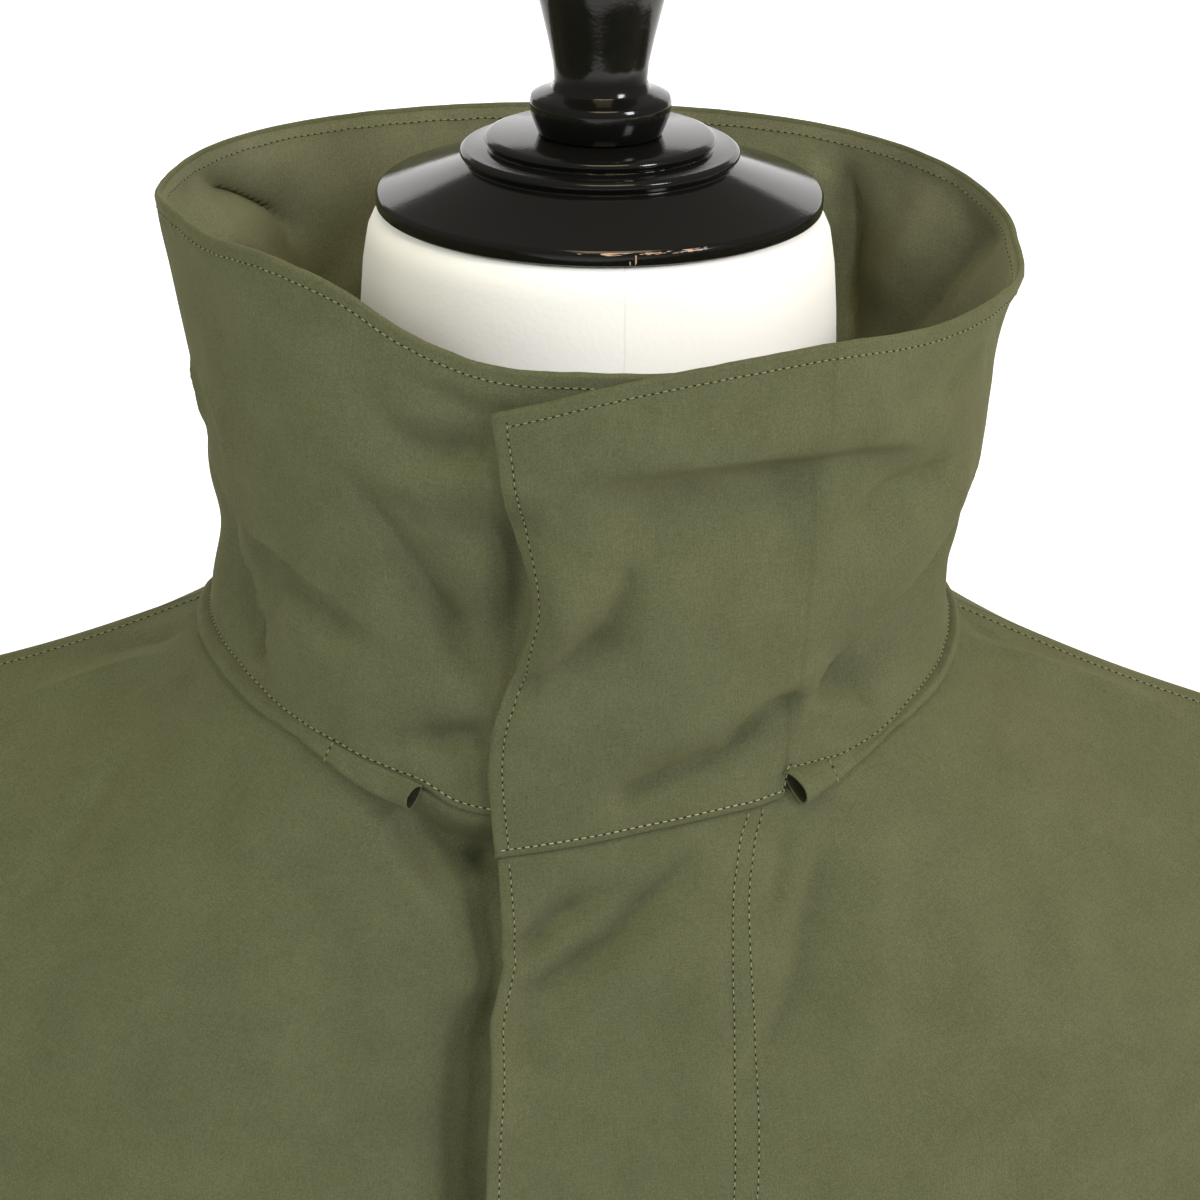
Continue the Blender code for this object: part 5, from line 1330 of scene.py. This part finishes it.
class StitchWork:
    """Lays stitches along lines with one Geometry Nodes group, turned into plain meshes."""

    def __init__(self, thread: Material, hole: Material, size: StitchSize) -> None:
        """Make the node group.

        Args:
            thread: The thread's material, where a seam names no other.
            hole: The needle holes' material, a near-black painted shade.
            size: The stitch's sizes.
        """
        self.size = size
        self.inputs: dict[str, str] = {}
        self.group = self._group(thread, hole)

    def _group(self, thread: Material, hole: Material) -> bpy.types.NodeTree:
        """Build the group: lines in, stitches and near-black beads of painted shade at the needle holes
        out.
        """
        group = bpy.data.node_groups.new("stitch_row", "GeometryNodeTree")
        for name, kind, value in (
            ("Geometry", "Geometry", None), ("Pitch", "Float", self.size.pitch),
            ("Length", "Float", self.size.length), ("Radius", "Float", self.size.radius),
            ("Hole", "Float", self.size.hole), ("Seed", "Int", 0), ("Thread", "Material", thread),
        ):
            kind = "NodeSocket" + kind
            socket = group.interface.new_socket(name, in_out="INPUT", socket_type=kind)
            if value is not None:
                socket.default_value = value
            self.inputs[name] = socket.identifier
        group.interface.new_socket("Geometry", in_out="OUTPUT", socket_type="NodeSocketGeometry")
        nodes = NodeMaker(group)
        start = nodes.add("NodeGroupInput").outputs
        curve = nodes.add("GeometryNodeMeshToCurve", {"Mesh": start["Geometry"]}).outputs["Curve"]
        sample = nodes.add(
            "GeometryNodeResampleCurve", {"Curve": curve, "Length": start["Pitch"]}, mode="LENGTH"
        )
        tangent = nodes.add("GeometryNodeInputTangent")
        keep = nodes.add("GeometryNodeCaptureAttribute")
        keep.capture_items.new("VECTOR", "way")
        nodes.feed(
            keep, {"Geometry": sample.outputs["Curve"], "way": tangent.outputs["Tangent"]}
        )
        way = keep.outputs["way"]
        points = nodes.add(
            "GeometryNodeCurveToPoints", {"Curve": keep.outputs["Geometry"]}, mode="EVALUATED"
        ).outputs["Points"]
        turn = nodes.add("FunctionNodeAlignRotationToVector", {"Vector": way}, axis="X").outputs[0]
        # shortest and longest stitch, as shares of the length
        vary = nodes.add(
            "FunctionNodeRandomValue", {2: 0.86, 3: 1.08, "Seed": start["Seed"]}, data_type="FLOAT"
        ).outputs[1]
        half_pitch = nodes.math("MULTIPLY", start["Pitch"], 0.5)
        shift = nodes.add("ShaderNodeVectorMath", {0: way, "Scale": half_pitch}, operation="SCALE")
        between = nodes.add(
            "GeometryNodeSetPosition", {"Geometry": points, "Offset": shift.outputs["Vector"]}
        ).outputs["Geometry"]
        stitch = self._bead(nodes, start["Length"], start["Radius"], 7, 5)
        # dark beads between the stitches: painted shade where the thread sinks into the cloth
        hole_shade_bead = self._bead(nodes, start["Hole"], start["Radius"], 4, 3)
        both = nodes.add("GeometryNodeJoinGeometry")
        for places, shape, scale, paint in (
            (points, stitch, vary, start["Thread"]), (between, hole_shade_bead, (1.0, 1.0, 1.0), hole),
        ):
            lay = nodes.add("GeometryNodeInstanceOnPoints", {
                "Points": places, "Instance": shape, "Rotation": turn, "Scale": scale,
            }).outputs["Instances"]
            real = nodes.add("GeometryNodeRealizeInstances", {"Geometry": lay}).outputs[0]
            painted = nodes.add("GeometryNodeSetMaterial", {"Geometry": real, "Material": paint})
            nodes.feed(both, {"Geometry": painted.outputs["Geometry"]})
        nodes.add("NodeGroupOutput", {"Geometry": both.outputs["Geometry"]})
        return group

    @staticmethod
    def _bead(nodes: NodeMaker, length: Socket, radius: Socket, segments: int, rings: int) -> Socket:
        """A long bead: a small sphere drawn out along X."""
        ball = nodes.add(
            "GeometryNodeMeshUVSphere", {"Segments": segments, "Rings": rings, "Radius": 1.0}
        ).outputs["Mesh"]
        half = nodes.math("MULTIPLY", length, 0.5)
        size = nodes.add("ShaderNodeCombineXYZ", {0: half, 1: radius, 2: radius}).outputs[0]
        return nodes.add("GeometryNodeTransform", {"Geometry": ball, "Scale": size}).outputs[0]

    def sew(
        self, name: str, lines: Sequence[np.ndarray], seed: int, thread: Material
    ) -> bpy.types.Object:
        """Sew stitches along lines.

        Args:
            name: The new object's name.
            lines: Point lists, each one line.
            seed: Fixes the stitches' small differences.
            thread: The thread's material.

        Returns:
            The stitches as a plain mesh object.
        """
        verts: list = []
        edges: list[tuple[int, int]] = []
        for line in lines:
            first = len(verts)
            verts.extend(line.tolist())
            edges.extend((first + i, first + i + 1) for i in range(len(line) - 1))
        mesh = bpy.data.meshes.new(name + "_lines")
        mesh.from_pydata(verts, edges, [])
        carrier = put(name + "_lines", mesh)
        modifier = carrier.modifiers.new("stitches", "NODES")
        modifier.node_group = self.group
        for key in ("Pitch", "Length", "Radius", "Hole"):
            modifier[self.inputs[key]] = getattr(self.size, key.lower())
        modifier[self.inputs["Seed"]] = seed
        modifier[self.inputs["Thread"]] = thread
        return add_piece(name, evaluated_mesh(carrier, name))


# ------------------------------------------------------------------ the jacket
@dataclass(frozen=True)
class SheetCut:
    """Flat cut of a cloth piece: width, length, and area in metres and square metres."""

    width: float
    length: float
    area: float


@dataclass
class Jacket:
    """The dressed jacket: its cloth pieces and its stitching."""

    painted_shade_inside: Material
    shells: ShellBuilder
    stitches: StitchWork
    bright_thread: Material
    dull_thread: Material
    form: JacketForm = field(default_factory=JacketForm)
    grids: dict[str, ClothGrid] = field(default_factory=dict)
    objects: dict[str, bpy.types.Object] = field(default_factory=dict)

    CUTS = {
        "front_left": SheetCut(0.285, 0.765, 0.196),
        "front_right": SheetCut(0.29, 0.765, 0.199),
        "back": SheetCut(0.56, 0.78, 0.4),
        "sleeve_left": SheetCut(0.44, 0.64, 0.235),
        "sleeve_right": SheetCut(0.44, 0.64, 0.235),
        "collar": SheetCut(0.69, 0.135, 0.082),
        "neck_channel": SheetCut(0.52, 0.013, 0.0058),
    }
    GAP = 0.00006
    RUN_UNDER = 0.002
    RUN_INWARD = 0.0007
    LAP_DOWN = 0.0002
    LAP_OUT = 0.001
    LAP_FADE = 0.0075
    NECK_FADE = 0.01
    SEAM_FADE = 0.02

    def build(self) -> None:
        """Build every piece and its stitching."""
        self._fronts()
        self._back()
        self._sleeves()
        self._collar()
        self._channel()
        for name, grid in self.grids.items():
            # The channel's inner faces get a near-black copy of the cloth: painted shade for the deep
            # tube's dark interior.
            painted_shade_lining = self.painted_shade_inside if name == "neck_channel" else None
            obj = self.shells.build(grid, painted_shade_lining)
            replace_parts(obj, name)
            self.objects[name] = obj
        self._sew()
        self._declare()

    def _panel_fade(self, grid: ClothGrid, low: bool, high: bool) -> np.ndarray:
        """Share of a crease's depth over a panel: none at the seams that it shares."""
        fade = ramp(grid.border_distance(row=0), 0.0, self.NECK_FADE)
        for shared, column in ((low, 0), (high, -1)):
            if shared:
                fade = fade * ramp(grid.border_distance(column=column), 0.0, self.SEAM_FADE)
        return fade

    def _draw_in(self, grid: ClothGrid, *borders: tuple[str, int]) -> None:
        """Draw borders back from a shared seam by the visual gap."""
        for kind, index in borders:
            points = grid.points if kind == "column" else grid.points.swapaxes(0, 1)
            inner = 1 if index == 0 else -2
            points[index] += self.GAP * unit(points[inner] - points[index])

    def _run_under(self, grid: ClothGrid) -> None:
        """Carry a panel's neck edge on under the collar's turned edge."""
        step = unit(grid.points[:, 0] - grid.points[:, 1])
        outward = grid.normals()[:, 0]
        grid.points[:, 0] += self.RUN_UNDER * step - self.RUN_INWARD * outward

    def _fronts(self) -> None:
        """Both fronts, creased."""
        for side, creases in ((Side.LEFT, FRONT_LEFT_CREASES), (Side.RIGHT, FRONT_RIGHT_CREASES)):
            grid = self.form.front(side)
            fade = self._panel_fade(grid, False, True)
            grid.press(creases, fade)
            grid.uneven(fade)
            grid.pucker(grid.border_distance(row=0), 31)
            if side is Side.LEFT:
                grid.pucker(grid.border_distance(column=0), 32)
                grid.groove(grid.border_distance(column=0), FLY_SEAM)
            grid.groove(grid.border_distance(row=-1), HEM)
            self.grids[side.of("front")] = grid

    def _back(self) -> None:
        """The back, creased."""
        grid = self.form.back()
        fade = self._panel_fade(grid, True, True)
        grid.press(BACK_CREASES, fade)
        grid.uneven(fade)
        grid.groove(grid.border_distance(row=-1), HEM)
        self.grids["back"] = grid

    def _sleeves(self) -> None:
        """Both sleeves, creased; the right one's creases sit a little differently."""
        back = self.grids["back"]
        for side, shift, depth in ((Side.LEFT, 0.0, 1.0), (Side.RIGHT, 9.0, 0.85)):
            grid = self.form.sleeve(side, self.grids[side.of("front")], back)
            fade = ramp(grid.border_distance(row=0), 0.0, self.SEAM_FADE)
            creases = [
                replace(
                    crease,
                    points=tuple((u + shift, v + 0.0012 * shift) for u, v in crease.points),
                    height=crease.height * depth,
                )
                for crease in SLEEVE_CREASES
            ]
            grid.press(creases, fade)
            grid.uneven(fade)
            grid.groove(grid.border_distance(row=-1), HEM)
            self.grids[side.of("sleeve")] = grid
        for side in Side:
            self._run_under(self.grids[side.of("front")])
            self._draw_in(self.grids[side.of("front")], ("column", -1))
            self._draw_in(self.grids[side.of("sleeve")], ("row", 0))
        self._run_under(back)
        self._draw_in(back, ("column", 0), ("column", -1))

    def _collar(self) -> None:
        """The collar, creased, with its stitched edges."""
        grid = self.form.collar()
        lift = np.interp(grid.across, *np.array(EDGE_LIFT).T)[:, None]
        grid.points[:, :, 2] += lift * (1 - ramp(grid.border_distance(row=0), 0.0, 0.014))
        low = grid.border_distance(row=0)
        high = grid.border_distance(row=-1)
        fade = ramp(low, 0.0, 0.012) * (0.35 + 0.65 * ramp(high, 0.0, 0.014))
        grid.press(COLLAR_CREASES, fade)
        grid.uneven(fade, 0.9)
        grid.pucker(low, 41, 0.00013)
        grid.pucker(high, 42, 0.00015)
        ends = np.minimum(grid.border_distance(column=0), grid.border_distance(column=-1))
        grid.pucker(ends, 43, 0.00013)
        grid.groove(high, COLLAR_EDGE)
        grid.groove(low, COLLAR_SEAM)
        grid.groove(grid.border_distance(column=0), COLLAR_EDGE)
        self._lap_over_panels(grid, low)
        self.grids["collar"] = grid

    def _lap_over_panels(self, grid: ClothGrid, low: np.ndarray) -> None:
        """Lay the collar's turned lower edge a little way down over the panels."""
        stations = np.arange(1.0, 359.5, 4.0)
        frames = np.array([self.form.neck_frame(turn)[1:] for turn in stations])
        own = np.clip(grid.across, stations[0], stations[-1])
        share = 1.0 - ramp(low, 0.0, self.LAP_FADE)
        for index, length in ((0, self.LAP_DOWN), (1, self.LAP_OUT)):
            way = np.stack(
                [np.interp(own, stations, frames[:, index, axis]) for axis in range(3)], axis=1
            )
            grid.points = grid.points + length * share[..., None] * way[:, None, :]

    def _channel(self) -> None:
        """The neck channel, crinkled near its mouths."""
        grid = self.form.channel()
        grid.press(CHANNEL_CREASES, np.ones(grid.points.shape[:2]))
        height = 0.00012 * unevenness(grid.points, 0.009, 51)
        grid.points = grid.points + height[..., None] * grid.normals()
        self.grids["neck_channel"] = grid

    def _edge_line(
        self, name: str, column: Optional[int], row: Optional[int], inset: float,
        span: Optional[Pair] = None, lift: float = THREAD_LIFT,
    ) -> np.ndarray:
        """A stitch line at a set distance from a border, read on the creased cloth.

        Args:
            name: The piece.
            column: Border column, or None.
            row: Border row, or None.
            inset: Distance from the border, in metres.
            span: Part of the other parameter that the line covers.
            lift: Metres above the cloth.

        Returns:
            Points of the line.
        """
        grid = self.grids[name]
        distance = grid.border_distance(column=column, row=row)
        stations, places, border = grid.across, grid.along, row
        if row is None:
            stations, places, border, distance = places, stations, column, distance.T
        step = -1 if border == -1 else 1
        path = np.array([
            (station, np.interp(inset, gap[::step], places[::step]))
            for station, gap in zip(stations, distance)
            if not span or span[0] <= station <= span[1]
        ])
        if row is None:
            path = path[:, ::-1]
        return grid.at(path[:, 0], path[:, 1], lift)

    def _sew(self) -> None:
        """Stitch every edge and seam that the garment has."""
        collar = self.grids["collar"]
        inside = -(collar.thickness + THREAD_LIFT)
        end = 360.0 - UNDER_TURN
        spans = ((OVER_TURN + 1.0, MOUTHS[0]), (MOUTHS[1], end - 2.0))
        lines = [self._edge_line("collar", None, 0, COLLAR_SEAM, span) for span in spans]
        self.stitches.sew("stitching_collar_base", lines, 1, self.bright_thread)
        lines = [
            self._edge_line("collar", None, 0, COLLAR_SEAM, MOUTHS),
            self._edge_line("collar", None, -1, COLLAR_EDGE, (OVER_TURN + 2.2, end - 2.0)),
            self._edge_line("collar", None, -1, COLLAR_EDGE, (40.0, end - 2.0), inside),
            *(self._edge_line("collar", column, None, COLLAR_EDGE, (0.02, 0.968))
              for column in (0, -1)),
        ]
        self.stitches.sew("stitching_collar_edges", lines, 5, self.dull_thread)
        front = self.grids["front_left"]
        lines = [self._edge_line("front_left", 0, None, FLY_SEAM, (0.004, 0.985))]
        for row in (1, 2):
            path = front.line([(place[row], place[0]) for place in PLACKET_ROWS], 24)
            lines.append(front.at(path[:, 0], path[:, 1], THREAD_LIFT))
        for side in Side:
            lines.append(self._edge_line(side.of("front"), -1, None, 0.004, (0.002, TIP)))
            lines.append(self._edge_line(side.of("front"), None, -1, HEM))
        self.stitches.sew("stitching_fronts", lines, 2, self.dull_thread)
        lines = [self._edge_line("back", None, -1, HEM)]
        lines += [self._edge_line("back", column, None, 0.003, (TIP, UNDERARM)) for column in (0, -1)]
        lines += [self._edge_line(side.of("sleeve"), None, -1, HEM) for side in Side]
        self.stitches.sew("stitching_back_and_sleeves", lines, 3, self.dull_thread)
        channel = self.grids["neck_channel"]
        around = np.linspace(30.0, 150.0, 14)
        lines = [channel.at(around, np.full(14, turn), 0.00006) for turn in CHANNEL_BARS]
        self.stitches.sew("stitching_channel", lines, 4, self.dull_thread)

    def _declare(self) -> None:
        """Log each cloth piece's flat cut."""
        for name, cut in self.CUTS.items():
            LOG.info("%s: cut %.3f x %.3f m, %.4f m2", name, cut.width, cut.length, cut.area)


# ------------------------------------------------------------------ the form and its stand
@dataclass
class DressForm:
    """The limbless form, its turned cap and finial, and the stand."""

    felt: Material
    lacquer: Material
    enamel: Material

    ARRIS = 0.00035
    SIDES = 144
    TURNED_STEPS = 128

    def build(self) -> None:
        """Build the form and give the stand its finish."""
        self._torso()
        self._turned("turned_neck_cap", CAP, "neck_cap")
        self._turned("turned_finial", FINIAL, "finial")
        for node in ("stand_pole", "stand_foot"):
            for material_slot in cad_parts[node].material_slots:
                material_slot.material = self.enamel
            LOG.info("%s: enamelled", node)

    def _torso(self) -> None:
        """Felt-covered torso, lofted through the solid's sections at a finer step."""
        table = np.array(TORSO)
        fine = [table[0, 0]]
        for low, high in zip(table[:-1, 0], table[1:, 0]):
            steps = max(2, int(round((high - low) / 0.006)))
            fine.extend(np.linspace(low, high, steps + 1)[1:])
        count, rows = self.SIDES, len(fine)
        angle = 2 * pi * np.arange(count) / count
        blend = 0.5 + 0.5 * np.tanh(np.cos(angle) / 0.25)
        verts = []
        for height, (half_width, front, back) in zip(fine, smooth(table[:, 0], table[:, 1:], fine)):
            depth = back + (front - back) * blend
            verts.append(np.stack(
                [half_width * np.sin(angle), -depth * np.cos(angle), 0 * angle + height], axis=1
            ))
        faces = [
            (r * count + i, r * count + (i + 1) % count,
             (r + 1) * count + (i + 1) % count, (r + 1) * count + i)
            for r in range(rows - 1) for i in range(count)
        ]
        faces.append(tuple(range(count - 1, -1, -1)))
        faces.append(tuple((rows - 1) * count + i for i in range(count)))
        mesh = bpy.data.meshes.new("felt_torso")
        mesh.from_pydata(np.concatenate(verts).tolist(), [], faces)
        mesh.materials.append(self.felt)
        obj = add_piece("felt_torso", mesh)
        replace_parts(obj, "torso")
        mesh.set_sharp_from_angle(angle=radians(60.0))

    def _turned(self, name: str, profile: Table, node: str) -> None:
        """A turned piece with softly rounded arrises.

        Args:
            name: The new object's name.
            profile: Radius and height above the rim, down the outer side.
            node: The CAD node that it stands for.
        """
        mesh = bpy.data.meshes.new(name + "_profile")
        mesh.from_pydata(
            [(radius, 0.0, RIM_HEIGHT + height) for radius, height in profile],
            [(i, i + 1) for i in range(len(profile) - 1)], [],
        )
        carrier = put(name + "_profile", mesh)
        screw = carrier.modifiers.new("turn", "SCREW")
        screw.steps = screw.render_steps = self.TURNED_STEPS
        screw.use_merge_vertices = True
        screw.merge_threshold = 0.00005
        bevel = carrier.modifiers.new("arris", "BEVEL")
        bevel.width = self.ARRIS
        bevel.segments = 2
        bevel.limit_method = "ANGLE"
        bevel.angle_limit = radians(24.0)
        made = evaluated_mesh(carrier, name)
        face_outward(made)
        made.materials.append(self.lacquer)
        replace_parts(add_piece(name, made), node)


# ------------------------------------------------------------------ studio
@dataclass(frozen=True)
class Softbox:
    """One area lamp that looks at a point; mirrored says whether gloss shows it."""

    name: str
    place: Triple
    target: Triple
    size: Pair
    power: float
    colour: Triple = (1.0, 1.0, 1.0)
    mirrored: bool = True


SOFTBOXES: tuple[Softbox, ...] = (
    Softbox("front_right", (1.12, -2.3, 2.4), (0.0, 0.0, 0.88), (0.5, 0.8), 20.0,
            (0.93, 1.0, 1.1), mirrored=False),
    Softbox("key_right", (2.0, -1.6, 2.2), (0.0, 0.0, 0.88), (0.6, 0.8), 29.0,
            (1.0, 1.0, 1.06)),
    Softbox("front_left", (-1.25, -2.2, 2.4), (0.0, 0.0, 0.88), (0.5, 0.8), 15.0,
            (0.95, 1.0, 1.08), mirrored=False),
    Softbox("side_left", (-2.3, -1.0, 1.9), (0.0, 0.0, 0.88), (1.0, 1.2), 28.0,
            (1.0, 1.0, 0.84), mirrored=False),
    Softbox("side_right", (2.6, -0.3, 1.6), (0.0, 0.0, 0.88), (1.2, 1.4), 36.0,
            (1.12, 1.0, 0.85), mirrored=False),
    Softbox("top", (0.2, -0.9, 3.1), (0.0, 0.0, 0.88), (1.2, 1.2), 15.0, (1.2, 1.0, 0.6)),
    Softbox("backdrop", (0.3, 4.6, 1.7), (0.3, 0.0, 1.7), (7.6, 3.2), 92.0),
    Softbox("floor", (0.0, 3.8, 3.0), (0.0, 3.8, 0.0), (3.2, 3.6), 140.0, mirrored=False),
)


class Studio:
    """Camera, lamps and floor."""

    CAMERA_PLACE = (0.0013357, -1.3, 1.34618)
    PITCH = 20.3095
    ROLL = 0.65356
    LENS = 153.725
    WORLD_STRENGTH = 0.2

    def build(self) -> None:
        """Set up the studio."""
        self._camera()
        self._lamps()
        self._floor()

    def _camera(self) -> None:
        """Camera solved from the circles of the neck cap."""
        data = bpy.data.cameras.new("camera")
        data.lens = self.LENS
        data.sensor_width = 36.0
        data.clip_start, data.clip_end = 0.05, 60.0
        camera = put("camera", data)
        tilt = Matrix.Rotation(radians(90.0 - self.PITCH), 4, "X")
        roll = Matrix.Rotation(radians(self.ROLL), 4, "Z")
        camera.matrix_world = Matrix.Translation(self.CAMERA_PLACE) @ tilt @ roll
        bpy.context.scene.camera = camera

    def _lamps(self) -> None:
        """Area lamps and a plain pale world."""
        for box in SOFTBOXES:
            data = bpy.data.lights.new(box.name, "AREA")
            data.shape = "RECTANGLE"
            data.size, data.size_y = box.size
            data.energy = box.power
            data.color = box.colour
            lamp = put(box.name, data)
            lamp.visible_glossy = box.mirrored
            aim = Vector(box.target) - Vector(box.place)
            lamp.location = box.place
            lamp.rotation_mode = "QUATERNION"
            lamp.rotation_quaternion = aim.to_track_quat("-Z", "Y")
        world = bpy.data.worlds.new("studio")
        world.use_nodes = True
        background = world.node_tree.nodes["Background"]
        background.inputs["Color"].default_value = (1.08, 1.0, 0.92, 1.0)
        background.inputs["Strength"].default_value = self.WORLD_STRENGTH
        bpy.context.scene.world = world
        bpy.context.scene.view_settings.view_transform = "Standard"
        bpy.context.scene.view_settings.look = "None"

    def _floor(self) -> None:
        """A large pale floor."""
        mesh = bpy.data.meshes.new("floor")
        half = 14.0
        mesh.from_pydata(
            [(-half, -half, 0), (half, -half, 0), (half, half, 0), (-half, half, 0)],
            [], [(0, 1, 2, 3)],
        )
        nodes = FinishTree("pale_floor")
        cloud = nodes.noise(nodes.place("Object"), 1.5, 3.0)
        colour = nodes.mix(cloud, (0.93, 0.93, 0.93), (0.96, 0.96, 0.96))
        mesh.materials.append(nodes.finish(colour, Roughness=0.9, Specular_IOR_Level=0.1))
        put("floor", mesh)


def main() -> None:
    """Build the whole scene."""
    Studio().build()
    cloth = CottonFinish().build()
    # Paler copy of the cloth for the inner faces: painted light, standing in for the light that reaches
    # the collar's inside.
    inside = CottonFinish(
        "olive_cotton_inside_painted_light", (0.136, 0.138, 0.076), (0.198, 0.202, 0.118)
    ).build()
    # Near-black copy of the cloth for the channel's inside: painted shade inside the deep tube.
    channel_painted_shade = CottonFinish("olive_cotton_painted_shade", (0.022, 0.022, 0.011), (0.036, 0.037, 0.019)).build()
    bright = ThreadFinish("tan_thread", (0.26, 0.25, 0.15), (0.38, 0.36, 0.24)).build()
    dull = ThreadFinish("olive_thread", (0.16, 0.16, 0.086), (0.25, 0.245, 0.145)).build()
    # Near-black beads at the needle holes: painted shade in the dimples between stitches.
    hole = ThreadFinish("needle_hole_painted_shade", (0.008, 0.008, 0.004), (0.018, 0.018, 0.009), 0.9).build()
    stitches = StitchWork(bright, hole, StitchSize())
    Jacket(channel_painted_shade, ShellBuilder(cloth, inside), stitches, bright, dull).build()
    DressForm(FeltFinish().build(), LacquerFinish().build(), EnamelFinish().build()).build()


if __name__ == "__main__":
    main()
